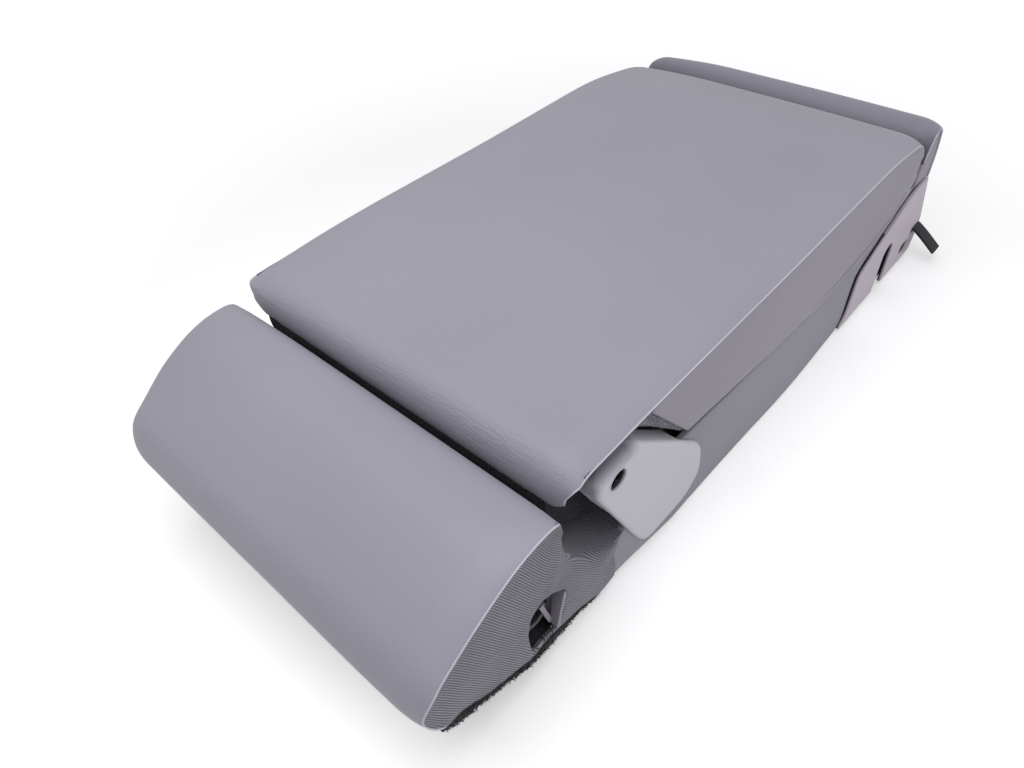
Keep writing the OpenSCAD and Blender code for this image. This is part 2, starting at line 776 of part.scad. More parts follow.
// Torsion spring around the pin: one leg on the plate's stop, the other beside the hook's lug
wire_r = 0.6;
coil_r = latch_pin_r + wire_r + 0.5;
coil_pitch = 1.25;
coil_turns = 1.75;
spring_room = 2.5 * wire_r + coil_turns * coil_pitch + soft_gap;
leg_drop = 10.4;
leg_reach = 12;
stop_r = 2;
stop_dy = 9.5;
lug_r = 1.2;
module latch_plate() {
    mouth_r = slot_w / 2;
    outline = rounded([
        [slot_y - mouth_r - 12, tube_h - 8, 4],
        [latch_pin_y + 18, tube_h - 8, 4],
        [latch_pin_y + 16, latch_pin_h + 13, 6],
        [slot_y - mouth_r - 4, latch_pin_h + 13, 8]
    ], true);
    color("#8d9096")
        difference() {
            union() {
                plate(outline, right, bracket_in, bracket_out);
                bar(stop_r, right, bracket_out - eps, hook_out + spring_room, latch_pin_y + stop_dy,
                    latch_pin_h + coil_r + wire_r + soft_gap + stop_r);
            }
            bar(mouth_r, right, bracket_in - 1, bracket_out + 1, slot_y, slot_top_h - mouth_r);
            box(bracket_in - 1, bracket_out + 1, slot_y - mouth_r, slot_y + mouth_r, 0, slot_top_h - mouth_r);
            bar(latch_pin_r + press, right, bracket_in - 1, bracket_out + 1, latch_pin_y, latch_pin_h);
        }
}

module latch_pin() {
    color("#55585e")
        union() {
            bar(latch_pin_r, right, bracket_in - 2, hook_out + spring_room + eps, latch_pin_y, latch_pin_h);
            bar(latch_pin_r + 2.5, right, hook_out + spring_room, hook_out + spring_room + 1.2, latch_pin_y, latch_pin_h);
        }
}

module latch_hook() {
    nose_h = slot_top_h - slot_w / 2 - 8;
    outline = rounded([
        [latch_pin_y - 6.5, latch_pin_h - 2, 0],
        [latch_pin_y - 9.5, latch_pin_h - 12, 3],
        [latch_pin_y - 8, nose_h + 1, 4],
        [slot_y - slot_w / 2 + 2, nose_h, 1.5],
        [slot_y - slot_w / 2 + 2, nose_h - 4, 1.5],
        [latch_pin_y - 2, nose_h - 18, 5],
        [latch_pin_y + 8, nose_h - 12, 5],
        [latch_pin_y + 6.5, latch_pin_h - 2, 0]
    ], true);
    color("#9a9da3")
        difference() {
            union() {
                plate(outline, right, hook_in, hook_out);
                bar(hook_eye_r, right, hook_in, hook_out, latch_pin_y, latch_pin_h);
                bar(lug_r, right, hook_out - eps, hook_out + 2.2, latch_pin_y - coil_r - wire_r - lug_r - soft_gap,
                    latch_pin_h - leg_drop - 0.8);
            }
            bar(latch_pin_r + pin_clearance, right, hook_in - 1, hook_out + 1, latch_pin_y, latch_pin_h);
        }
}

function coil_point(turn) =
    [turn * coil_pitch, coil_r * cos(180 - 360 * turn), coil_r * sin(180 - 360 * turn)];
function path_tangent(c, i) = unit(c[min(i + 1, len(c) - 1)] - c[max(i - 1, 0)]);
function wire_ring(p, t, r) =
    let (across = unit(cross([1, 0, 0], t)))
    [for (a = [0:45:315]) p + r * (cos(a) * [1, 0, 0] + sin(a) * across)];
module latch_spring() {
    steps = 18 * coil_turns;
    coil = [for (k = [0:steps]) coil_point(coil_turns * k / steps)];
    top = coil[len(coil) - 1];
    path = concat([coil[0] - [0, 0, leg_drop]], coil, [top + [0, leg_reach, 0]]);
    color("#77797f")
        translate([hook_out + wire_r + soft_gap, latch_pin_y, latch_pin_h])
            loft([for (i = [0:len(path) - 1]) wire_ring(path[i], path_tangent(path, i), wire_r)], 5);
}

// Underside line of the armrest, from its near end to its nose
under_near = [pivot_y + 20, pivot_h - 28];
arm_under = concat(
    [under_near, [notch_y - 24, pivot_h - 27.5]],
    moved(band_edge, 1)
);
module arm_underside() {
    whole = [for (p = arm_under) if (p[0] < core_far_y) p];
    wide = [for (p = whole) if (p[0] > notch_y - 1) p];
    color("#33333a")
        union() {
            prism(band(whole, panel_t), -core_hw, core_hw);
            prism(band(wide, panel_t), -band_in + soft_gap, band_in - soft_gap);
        }
}

// Moulded core: top deck, side walls, nose around the pivot and ribs below the deck
core_far_y = nose_y - 24;
wing_y = arm_end_y + 6;
wing_hw = band_in - 2 * soft_gap;
module core_cells() {
    z0 = band_low_h - 20;
    z1 = core_top_h - core_wall;
    y0 = notch_y - 20;
    pitch = (core_far_y - core_wall - y0) / core_ribs;
    lane = (2 * core_hw - 4 * core_wall) / 3;
    for (i = [0:core_ribs - 1])
        for (j = [0:2])
            translate([-core_hw + core_wall + j * (lane + core_wall), y0 + i * pitch, z0])
                cube([lane, pitch - core_wall, z1 - z0]);
    wing_pitch = (core_far_y - core_wall - wing_y) / core_ribs;
    for (side = [left, right])
        for (i = [0:core_ribs - 1])
            box(side * core_hw, side * (wing_hw - core_wall), wing_y + core_wall + i * wing_pitch,
                wing_y + (i + 1) * wing_pitch, z0, z1);
}

module arm_core() {
    lower = moved(arm_under, panel_t + soft_gap);
    nose_curve = arc(pivot_y, pivot_h, swing_r - cloth_t - soft_gap, 300, 186, 14);
    outline = concat(
        [for (p = lower) if (p[0] < core_far_y) p],
        [[core_far_y, core_top_h]],
        [[pivot_y - 28, core_top_h]],
        reversed([for (p = nose_curve) if (p[1] < core_top_h - 1) p])
    );
    wings = concat(
        [[wing_y, band_near_h]],
        [for (p = lower) if (p[0] > wing_y && p[0] < core_far_y) p],
        [[core_far_y, core_top_h], [wing_y, core_top_h]]
    );
    color("#4a4a50")
        difference() {
            union() {
                prism(outline, -core_hw, core_hw);
                prism(wings, -wing_hw, wing_hw);
            }
            core_cells();
            for (side = [left, right]) {
                bar(bush_r + 1, side, arm_in - pin_depth - 1, arm_in, pivot_y, pivot_h);
                for (y = screw_ys)
                    bar(screw_r + press, side, core_hw - screw_depth - 0.5, arm_in, y, screw_h);
            }
        }
}

// Space beside the near end that the ears and brackets need
notch_zone = [
    [near_y, pivot_h - 60],
    [notch_y + 6, pivot_h - 60],
    [notch_y, band_near_h],
    [lip_y - 1, overhang_h + soft_gap],
    [near_y, overhang_h + soft_gap]
];
module arm_foam() {
    base = [[nose_y - 22, core_top_h + 0.5], [pivot_y - 27, core_top_h + 0.5]];
    arm_zone = [
        [near_y, 0], [wing_y, 0], [wing_y, core_top_h + 2], [pivot_y + 15, pivot_h + 16],
        [pivot_y + 15, overhang_h - 1], [near_y, overhang_h - 1]
    ];
    color("#c9b98a")
        difference() {
            crowned_foam(arm_curve, arm_hw, band_in - soft_gap, arm_crown, leather_t + soft_gap, base);
            for (side = [left, right]) {
                plate(notch_zone, side, gusset_out - gusset_t - soft_gap, roll_hw);
                plate(arm_zone, side, core_hw, gusset_out);
                bar(bush_r + 1, side, arm_in - pin_depth - 1, arm_in, pivot_y, pivot_h);
            }
        }
}

module arm_cover() {
    color("#908e9b")
        crowned_sheet(arm_curve, arm_hw, arm_crown, leather_t);
}

// Side band of the armrest, below the piped seam
module arm_band(side) {
    seam = moved(arm_curve, -leather_t - soft_gap);
    upper = [for (p = seam) if (p[0] > lip_y && p[1] > band_far_h + 7) p];
    outline = concat([[lip_y - 1, overhang_h + 1]], upper, reversed(band_edge));
    color("#8a8793")
        plate(reversed(outline), side, band_in, band_out);
}

// Granular cloth around the near end, between the ears
module arm_near_cloth() {
    outer = arc(pivot_y, pivot_h, swing_r, 162, 298, 20);
    inner = arc(pivot_y, pivot_h, swing_r - cloth_t, 162, 298, 20);
    color("#3d3b45")
        prism(concat(outer, reversed(inner)), -core_hw, core_hw);
}

// Same cloth on the recessed sides, with a hole for the pivot
module arm_gusset(side) {
    wall = concat(
        arc(pivot_y, pivot_h, swing_r, 170, 296, 16),
        [[notch_y - 6, band_near_h + 1], [lip_y - 6, overhang_h - 0.5]],
        [[pivot_y - 24, overhang_h - 0.5]]
    );
    color("#3d3b45")
        difference() {
            union() {
                plate(wall, side, gusset_out - gusset_t, gusset_out);
                box(side * (gusset_out - gusset_t), side * (arm_hw - 1), near_face_y + 6, lip_y - 6,
                    overhang_h - gusset_t, overhang_h);
            }
            bar(flange_r + 1, side, gusset_out - 2, gusset_out + 1, pivot_y, pivot_h);
        }
}

module pivot_arm(side) {
    leg = rounded([
        [pivot_y - 2, pivot_h - eye_r + 1, 0],
        [pivot_y + 22, pivot_h - 20, 8],
        [arm_end_y, pivot_h - 20, 4],
        [arm_end_y, core_top_h - 1, 4],
        [pivot_y + 30, core_top_h - 1, 10],
        [pivot_y + 7, pivot_h + eye_r - 3, 0]
    ], true);
    color("#8d9096")
        difference() {
            union() {
                plate(leg, side, arm_in, arm_out);
                bar(eye_r, side, arm_in, arm_out, pivot_y, pivot_h);
            }
            bar(bush_r + press, side, arm_in - 1, arm_out + 1, pivot_y, pivot_h);
            for (y = screw_ys)
                bar(screw_r + 0.2, side, arm_in - 1, arm_out + 1, y, screw_h);
        }
}

module pivot_bush(side) {
    color("#d8d4c8")
        difference() {
            union() {
                bar(bush_r, side, arm_in - 0.5, arm_out + 0.05, pivot_y, pivot_h);
                bar(flange_r, side, arm_out + 0.05, arm_out + 0.05 + flange_t, pivot_y, pivot_h);
            }
            bar(pin_r + pin_clearance, side, arm_in - 2, arm_out + flange_t + 1, pivot_y, pivot_h);
        }
}

// Screws that hold the arms to the core
screw_r = 2.5;
screw_head_r = 4.5;
screw_head_t = 1.8;
screw_depth = 8;
screw_h = core_top_h - 7;
screw_ys = [notch_y + 8, notch_y + 40];
module arm_screws() {
    color("#77797f")
        for (side = [left, right])
            for (y = screw_ys) {
                bar(screw_r, side, core_hw - screw_depth, arm_out + fit, y, screw_h);
                bar(screw_head_r, side, arm_out + 0.05, arm_out + screw_head_t, y, screw_h);
            }
}

carpet();
back_pan();
frame_tube();
cross_rail_lower();
cross_rail_upper();
hinge_bracket(left);  // hinge_bracket_left
hinge_bracket(right);  // hinge_bracket_right
pivot_bracket(left);  // pivot_bracket_left
pivot_bracket(right);  // pivot_bracket_right
pivot_pin(left);  // pivot_pin_left
pivot_pin(right);  // pivot_pin_right
ear_cover(left);  // ear_cover_left
ear_cover(right);  // ear_cover_right
section_foam();
recess_board();
rest_buffers();
side_cover(left);  // side_cover_left
side_cover(right);  // side_cover_right
roll_foam();
roll_cover();
roll_side(left);  // roll_side_left
roll_side(right);  // roll_side_right
valley_cloth();
top_foam();
top_cover();
top_side(left);  // top_side_left
top_side(right);  // top_side_right
end_cap();
pull_strap();
latch_plate();
latch_pin();
latch_spring();
latch_hook();
arm_core();
arm_foam();
arm_cover();
arm_band(left);  // arm_band_left
arm_band(right);  // arm_band_right
arm_near_cloth();
arm_gusset(left);  // arm_gusset_left
arm_gusset(right);  // arm_gusset_right
arm_underside();
pivot_arm(left);  // pivot_arm_left
pivot_arm(right);  // pivot_arm_right
pivot_bush(left);  // pivot_bush_left
pivot_bush(right);  // pivot_bush_right
arm_screws();
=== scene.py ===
"""Looks of the rear seat armrest: leather pads, cloths, moulded covers, light and camera."""

import math
import random

import bmesh
import bpy
import numpy as np
from mathutils import Matrix, Vector, noise
from mathutils.geometry import delaunay_2d_cdt


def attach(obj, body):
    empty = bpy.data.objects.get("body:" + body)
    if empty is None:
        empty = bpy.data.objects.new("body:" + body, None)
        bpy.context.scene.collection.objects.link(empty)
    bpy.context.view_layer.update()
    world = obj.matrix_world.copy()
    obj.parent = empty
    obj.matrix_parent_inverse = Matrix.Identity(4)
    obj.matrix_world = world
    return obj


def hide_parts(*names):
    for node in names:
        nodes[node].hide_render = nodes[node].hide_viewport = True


MM = 0.001
SIDES = ((-1, "left"), (1, "right"))
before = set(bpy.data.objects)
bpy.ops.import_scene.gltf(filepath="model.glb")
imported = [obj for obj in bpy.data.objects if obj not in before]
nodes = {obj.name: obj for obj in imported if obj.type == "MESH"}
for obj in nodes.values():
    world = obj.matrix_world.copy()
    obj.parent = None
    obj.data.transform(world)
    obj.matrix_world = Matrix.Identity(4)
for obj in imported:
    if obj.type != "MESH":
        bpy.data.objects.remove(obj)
scene = bpy.context.scene
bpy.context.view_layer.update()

# Sizes of the part in millimetres: _y along the section, _h above its back, _hw a half width
near_y, far_y = -291.5, 291.5
pivot_y, pivot_h = -156, 112.5
roll_back_y, roll_h, roll_nose_h = -199, 127.5, 78
strip_y, strip_far_y, strip_h, cap_top_h = 228.5, 261.5, 134.5, 85
nose_y, nose_h, seam_h, chin_h = 226.5, 110, 139, 115.5
near_face_y, slope_y, tuck_y, lip_y, notch_y = -188.5, -160, -148, -128, -89
band_near_h, band_low_h, band_far_h = 88.5, 66.5, 77.5
swing_r, overhang_h, core_top_h, rest_gap = 34, 133, 106, 4.5
roll_hw, arm_hw, core_hw, valley_hw = 126, 125, 101, 122.4
hinge_y, hinge_h = -210.5, 50
strap_y, strap_hw = 280.5, 7

# How far out of the middle the faces of the side pieces lie
gusset_out, roll_side_out, cover_out = 109, 123.6, 122.3
ear_out, ear_plate_out, ear_rim_out = 126, 123.3, 112.7

# Corners in plan, as radii
roll_nose_r, arm_nose_r = 11, 9


# Outlines, as points [y, z]
ROUND_SHARES = [k / 10 for k in range(11)]


def unit(v):
    return v / max(np.linalg.norm(v), 1e-9)


def along(a, b, s):
    return a + (b - a) * s


def clamp(v):
    """Keep v between 0 and 1."""
    return np.clip(v, 0, 1)


def rounded(corners, closed=False):
    """Outline through corners (y, z, cut), each rounded over its cut's length on both sides."""
    pts = []
    n = len(corners)
    for i, (y, z, cut) in enumerate(corners):
        b = np.array([y, z], float)
        if cut == 0 or (not closed and i in (0, n - 1)):
            pts.append(b)
            continue
        a = np.array(corners[i - 1][:2], float)
        c = np.array(corners[(i + 1) % n][:2], float)
        p, q = b + unit(a - b) * cut, b + unit(c - b) * cut
        pts += [(1 - s) ** 2 * p + 2 * s * (1 - s) * b + s * s * q for s in ROUND_SHARES]
    return np.array(pts)


def arc(y, z, r, a0, a1, steps):
    a = np.radians(np.linspace(a0, a1, steps + 1))
    return np.stack([y + r * np.cos(a), z + r * np.sin(a)], axis=1)


def ringed(loop):
    return np.vstack([loop, loop[:1]])


def lengths(path):
    """Way along the path to each of its points."""
    return np.concatenate([[0], np.cumsum(np.linalg.norm(np.diff(path, axis=0), axis=1))])


def resample(path, step, closed=False):
    p = ringed(path) if closed else np.asarray(path)
    d = lengths(p)
    t = np.linspace(0, d[-1], max(3, int(round(d[-1] / step)) + 1))
    out = np.stack([np.interp(t, d, p[:, k]) for k in range(p.shape[1])], axis=1)
    return out[:-1] if closed else out


def smooth(path, rounds):
    p = np.array(path)
    for _ in range(rounds):
        p[1:-1] = 0.25 * p[:-2] + 0.5 * p[1:-1] + 0.25 * p[2:]
    return p


def tangents(path, closed=False):
    if closed:
        t = np.roll(path, -1, axis=0) - np.roll(path, 1, axis=0)
    else:
        t = np.gradient(path, axis=0)
    return t / np.maximum(np.linalg.norm(t, axis=1, keepdims=True), 1e-9)


def left_of(t):
    return np.stack([-t[:, 1], t[:, 0]], axis=1)


def moved(path, d, closed=False):
    return path + left_of(tangents(path, closed)) * d


# Points that the armrest's lower edge and the space below it share
fall_y, low_y, rise_y = (along(notch_y, nose_y, share) for share in (0.36, 0.57, 0.76))
fall_h, rise_h = along(band_near_h, band_low_h, 0.66), band_low_h + 3

roll_curve = rounded([
    (near_y + 12, roll_nose_h - 18, 0), (near_y + 1.5, roll_nose_h - 6, 8),
    (near_y + 8, roll_nose_h + 16, 11), (near_y + 39, roll_h - 13, 14), (near_y + 69, roll_h + 1, 16),
    (roll_back_y, roll_h, 6), (roll_back_y + 2, roll_h - 12, 0)])
valley_curve = rounded([
    (roll_back_y + 2.2, roll_h - 12.5, 0), (roll_back_y + 4, roll_h - 26, 6),
    (roll_back_y + 10, roll_h - 47, 12), (roll_back_y + 32, roll_h - 76, 10),
    (tuck_y + 2, roll_h - 79, 8), (lip_y - 4, pivot_h - 55, 0)])
arm_curve = rounded([
    (near_face_y, pivot_h + 14.5, 0), (near_face_y + 1, seam_h - 1, 10), (lip_y, seam_h + 1, 20),
    (along(notch_y, nose_y, 0.35), seam_h + 0.5, 20), (rise_y, seam_h + 2.5, 20),
    (nose_y - 18, seam_h - 4, 14), (nose_y, nose_h, 8), (nose_y - 21, band_far_h + 9, 0)])
band_edge = rounded([
    (notch_y, band_near_h, 0), (fall_y, fall_h, 20), (low_y, band_low_h, 20), (rise_y, rise_h, 20),
    (nose_y - 31, band_far_h, 8), (nose_y - 21, band_far_h + 9, 0)])
base_top = rounded([
    (lip_y - 1, pivot_h - 53.5, 0), (notch_y - 10, band_near_h - rest_gap - 4, 8),
    (fall_y, fall_h - rest_gap, 20), (low_y, band_low_h - rest_gap, 20), (rise_y, rise_h - rest_gap, 20),
    (nose_y - 28, band_far_h - rest_gap, 8), (strip_y - 10, nose_h - 16, 8), (strip_y - 1, nose_h - 4, 0)])
top_seam_curve = rounded([
    (strip_y + 2, nose_h - 2, 0), (strip_y + 2.5, strip_h - 15, 8), (strip_y + 11, strip_h - 4.5, 4),
    (strip_far_y - 12, strip_h - 3.5, 4.5), (strip_far_y - 4, along(cap_top_h, strip_h, 0.5), 8),
    (strip_far_y - 2, cap_top_h + 1, 0)])
carpet_curve = rounded([(near_y + 13.5, roll_nose_h - 20.5, 0), (slope_y, 0, 16), (far_y - 8, 0, 0)])
ear_outline = rounded([
    (pivot_y - 18.3, pivot_h + 4, 6), (pivot_y - 13.5, pivot_h + 13, 6), (pivot_y + 14, pivot_h + 14.5, 6),
    (pivot_y + 57, pivot_h - 23, 8), (pivot_y + 88, pivot_h - 52, 12), (pivot_y + 92, pivot_h - 80, 8),
    (pivot_y + 78, pivot_h - 93, 8), (pivot_y + 34, pivot_h - 93, 10), (pivot_y + 22, pivot_h - 72, 6)], True)
hinge_hole = rounded([
    (hinge_y - 9, hinge_h - 19, 2), (hinge_y - 3, hinge_h - 23.5, 3), (hinge_y + 11.5, hinge_h - 27, 3),
    (hinge_y + 18.5, hinge_h + 5, 4), (hinge_y + 15.5, hinge_h + 12, 3), (hinge_y + 5.5, hinge_h + 19.5, 4),
    (hinge_y - 1.5, hinge_h + 23, 5), (hinge_y - 10, hinge_h + 17, 5), (hinge_y - 11, hinge_h + 4, 6)], True)


# Materials. A colour is red, green and blue from 0 to 255
def linear(value):
    """Linear colour of such a triple; sockets and linear colours pass as they are."""
    if not isinstance(value, tuple) or len(value) != 3:
        return value
    shares = [c / 255 for c in value]
    return (*(c / 12.92 if c <= 0.04045 else ((c + 0.055) / 1.055) ** 2.4 for c in shares), 1)


def feed(tree, socket, value):
    """Give a socket its value, or link it to the socket that makes it."""
    if isinstance(value, bpy.types.NodeSocket):
        tree.links.new(value, socket)
    else:
        socket.default_value = value


def add_node(tree, kind, ins=None, **props):
    n = tree.nodes.new("ShaderNode" + kind)
    for key, value in props.items():
        setattr(n, key, value)
    for key, value in (ins or {}).items():
        feed(tree, n.inputs[key], value)
    return n


class Look:
    """Node material with short helpers. Lengths in it are in metres."""

    def __init__(self, name):
        self.name = name
        self.mat = bpy.data.materials.new(name)
        self.mat.use_nodes = True
        self.t = self.mat.node_tree
        self.bsdf = next(n for n in self.t.nodes if n.type == "BSDF_PRINCIPLED")
        self.place = self.add("TexCoord").outputs["Object"]
        self.normal = None

    def add(self, kind, ins=None, **props):
        return add_node(self.t, kind, ins, **props)

    def set(self, **values):
        for key, value in values.items():
            feed(self.t, self.bsdf.inputs[key.replace("_", " ")], value)

    def xyz(self, vector=None):
        return self.add("SeparateXYZ", {"Vector": vector or self.place}).outputs

    def weave(self):
        """Where a point lies in the cloth, across and along its ribs, in millimetres."""
        return self.xyz(self.add("UVMap", uv_map="weave").outputs["UV"])

    def noise(self, scale, detail=3, rough=0.5, place=None, distortion=0):
        return self.add("TexNoise", {
            "Vector": place or self.place, "Scale": scale, "Detail": detail, "Roughness": rough,
            "Distortion": distortion}).outputs["Fac"]

    def cells(self, scale, soft=0):
        ins = {"Vector": self.place, "Scale": scale}
        if soft:
            ins["Smoothness"] = soft
        kind = "SMOOTH_F1" if soft else "F1"
        return self.add("TexVoronoi", ins, feature=kind).outputs["Distance"]

    def math(self, op, a, b=0):
        return self.add("Math", {0: a, 1: b}, operation=op).outputs[0]

    def wave(self, value, pitch):
        return self.math("SINE", self.math("MULTIPLY", value, 2 * math.pi / pitch))

    def level(self, fac, a, b, lo=0, hi=1):
        """Value that runs from a to b while fac runs from lo to hi."""
        return self.add("MapRange", {
            "Value": fac, "From Min": lo, "From Max": hi, "To Min": a, "To Max": b}).outputs["Result"]

    def mix(self, fac, a, b):
        return self.add("Mix", {0: fac, 6: linear(a), 7: linear(b)}, data_type="RGBA").outputs[2]

    def over(self, col, other, fac, share, lo, hi):
        """Lay another colour over, by up to its share, where fac runs from lo to hi."""
        return self.mix(self.level(fac, 0, share, lo, hi), col, other)

    def bump(self, height, strength, distance):
        ins = {"Height": height, "Strength": strength, "Distance": distance}
        if self.normal is not None:
            ins["Normal"] = self.normal
        self.normal = self.add("Bump", ins).outputs["Normal"]
        self.set(Normal=self.normal)

    def bevel(self, radius):
        self.normal = self.add("Bevel", {"Radius": radius}, samples=4).outputs["Normal"]
        self.set(Normal=self.normal)


def leather(name, tone, dark, sheen=0.1, rough=0.5, grain=0.2, creases=False, valley=None):
    k = Look(name)
    pores = k.cells(1250, 0.3)
    fine = k.noise(2600, 3, 0.6)
    col = k.over(tone, dark, k.noise(6, 2), 1, 0.3, 0.7)
    col = k.over(col, dark, pores, 0.3, 0.1, 0.6)
    at = k.xyz()
    # Painted shade: with a valley colour, the leather darkens towards it low down on the side of the top
    # cushion that faces the armrest pad, in the pad's shade.
    if valley:
        low = k.level(at["Z"], 0.8, 0, 0.1195, 0.1365)
        col = k.mix(k.math("MULTIPLY", low, k.level(at["Y"], 1, 0, 0.236, 0.248)), col, valley)
    k.set(Base_Color=col, Roughness=k.level(fine, rough - 0.05, rough + 0.07, 0.3, 0.7),
          Specular_IOR_Level=0.4, Sheen_Weight=sheen, Sheen_Roughness=0.5)
    k.bump(pores, grain, 0.0003)
    k.bump(fine, grain * 0.6, 0.00015)
    if creases:
        long_way = k.add("Mapping", {"Vector": k.place, "Scale": (0.16, 1, 1)})
        lines = k.level(k.noise(900, 2, 0.55, long_way.outputs[0], 0.3), 0, 1, 0.42, 0.66)
        k.bump(k.math("MULTIPLY", lines, k.level(at["Y"], 1, 0, -0.190, -0.168)), 0.35, 0.0005)
    return k


def ribbed(name, light, dark, haze, pitch=1.15, stitch=0.9):
    k = Look(name)
    across, lengthwise, _ = k.weave()
    wob = k.level(k.noise(160, 2), -0.3, 0.3)
    rib, knit = (k.level(k.wave(v, p), 0, 1, -1, 1)
                 for v, p in ((k.math("ADD", across, wob), pitch), (lengthwise, stitch)))
    knitted = k.math("MULTIPLY", k.math("MULTIPLY", knit, rib), 0.25)
    both = k.math("ADD", k.math("MULTIPLY", rib, 0.75), knitted)
    fuzz = k.noise(1900, 3, 0.65)
    col = k.mix(k.level(both, 0, 1, 0.1, 0.85), dark, light)
    col = k.over(col, haze, fuzz, 0.35, 0.5, 0.8)
    col = k.over(col, dark, k.noise(22, 3), 0.35, 0.4, 0.75)
    k.set(Base_Color=col, Roughness=0.86, Specular_IOR_Level=0.2, Sheen_Weight=0.25, Sheen_Roughness=0.6)
    k.bump(both, 0.8, 0.0005)
    k.bump(fuzz, 0.3, 0.0003)
    return k


def granular(name, light, dark, size=1.5, spark=(176, 174, 186), sheen=0.3):
    k = Look(name)
    cells = k.cells(1000 / size)
    fine = k.noise(2400, 3, 0.7)
    col = k.mix(k.level(cells, 1, 0, 0.12, 0.6), dark, light)
    col = k.over(col, spark, fine, 0.5, 0.45, 0.75)
    k.set(Base_Color=col, Roughness=0.9, Specular_IOR_Level=0.2, Sheen_Weight=sheen)
    k.bump(k.level(cells, 1, 0, 0.1, 0.7), 0.85, 0.0008)
    k.bump(fine, 0.4, 0.0003)
    return k


def felt(name, light, dark, hairs):
    k = Look(name)
    clump = k.noise(420, 4, 0.7, distortion=0.6)
    hair = k.noise(2600, 4, 0.75, distortion=1.2)
    col = k.over(k.over(dark, light, clump, 1, 0.35, 0.68), hairs, hair, 0.5, 0.55, 0.8)
    k.set(Base_Color=col, Roughness=0.97, Specular_IOR_Level=0.1, Sheen_Weight=0.15, Sheen_Roughness=0.7)
    k.bump(clump, 0.9, 0.0016)
    k.bump(hair, 0.7, 0.0007)
    return k


def plastic(name, tone, dark, rough, grain, size=0.8, edge=0, speck=0.25, relief=0.00022, shade=None):
    """Moulded plastic; shade(look, colour) may paint shade onto parts of it."""
    k = Look(name)
    if edge:
        k.bevel(edge)
    spark = k.noise(1000 / size, 4, 0.6)
    col = k.over(tone, dark, k.noise(9, 3), 0.5, 0.3, 0.75)
    if speck:
        col = k.over(col, dark, spark, speck, 0.45, 0.75)
    if shade:
        col = shade(k, col)
    k.set(Base_Color=col, Roughness=k.level(spark, *rough, 0.3, 0.7), Specular_IOR_Level=0.4)
    k.bump(spark, grain, relief)
    return k


def cap_painted_shade(k, col):
    """Painted shade: the end cap's outer wall keeps its pale tone, while the ribs and walls behind it are
    painted dark for the shade in its slots.
    """
    x, y, z = k.xyz()
    behind = k.level(k.math("ABSOLUTE", x), 1, 0, (arm_hw - 1.6) * MM, (arm_hw - 0.7) * MM)
    low = k.math("LESS_THAN", z, 0.066)
    slope = k.math("MULTIPLY", k.math("MAXIMUM", k.math("SUBTRACT", z, 0.032), 0), 0.53)
    ahead = k.math("LESS_THAN", y, k.math("SUBTRACT", 0.2862, slope))
    return k.mix(k.math("MULTIPLY", k.math("MULTIPLY", behind, low), ahead), col, (56, 54, 62))


def ear_painted_shade(k, col):
    """Painted shade: the pivot cover turns dark where it leans in under the armrest's overhang and along its
    near upper edge.
    """
    _, y, z = k.xyz()
    leaning = k.level(y, 1, 0, -0.146, -0.138)
    top = k.math("MULTIPLY", k.level(z, 0, 0.85, 0.1185, 0.1245), leaning)
    near = k.math("MULTIPLY", k.level(y, 0.7, 0, -0.1752, -0.1675), k.level(z, 0, 1, 0.100, 0.118))
    return k.mix(k.math("MAXIMUM", top, near), col, (98, 96, 106))


def metal(name, tone, dark, rough, metallic, edge=0.0008, streak=0.3):
    k = Look(name)
    k.bevel(edge)
    brush = k.noise(260, 4, 0.6, distortion=0.4)
    col = k.over(tone, dark, k.noise(45, 4, 0.65), 0.7, 0.4, 0.75)
    col = k.over(col, dark, brush, streak, 0.4, 0.7)
    k.set(Base_Color=col, Metallic=metallic, Roughness=k.level(brush, rough - 0.08, rough + 0.14, 0.3, 0.7))
    k.bump(brush, 0.12, 0.0002)
    return k


def foam_look(name, light, dark):
    k = Look(name)
    pore = k.cells(620)
    k.set(Base_Color=k.over(dark, light, pore, 1, 0.1, 0.7), Roughness=0.95, Specular_IOR_Level=0.15)
    k.bump(pore, 0.6, 0.0008)
    k.bump(k.noise(1500, 4, 0.7), 0.4, 0.0004)
    return k


def webbing(name, light, dark, warp=1.6, weft=1.1):
    k = Look(name)
    across, lengthwise, _ = k.weave()
    weave = k.level(k.math("MULTIPLY", k.wave(across, warp), k.wave(lengthwise, weft)), 0, 1, -1, 1)
    k.set(Base_Color=k.mix(weave, dark, light), Roughness=0.75, Specular_IOR_Level=0.3, Sheen_Weight=0.1)
    k.bump(weave, 0.8, 0.0005)
    return k


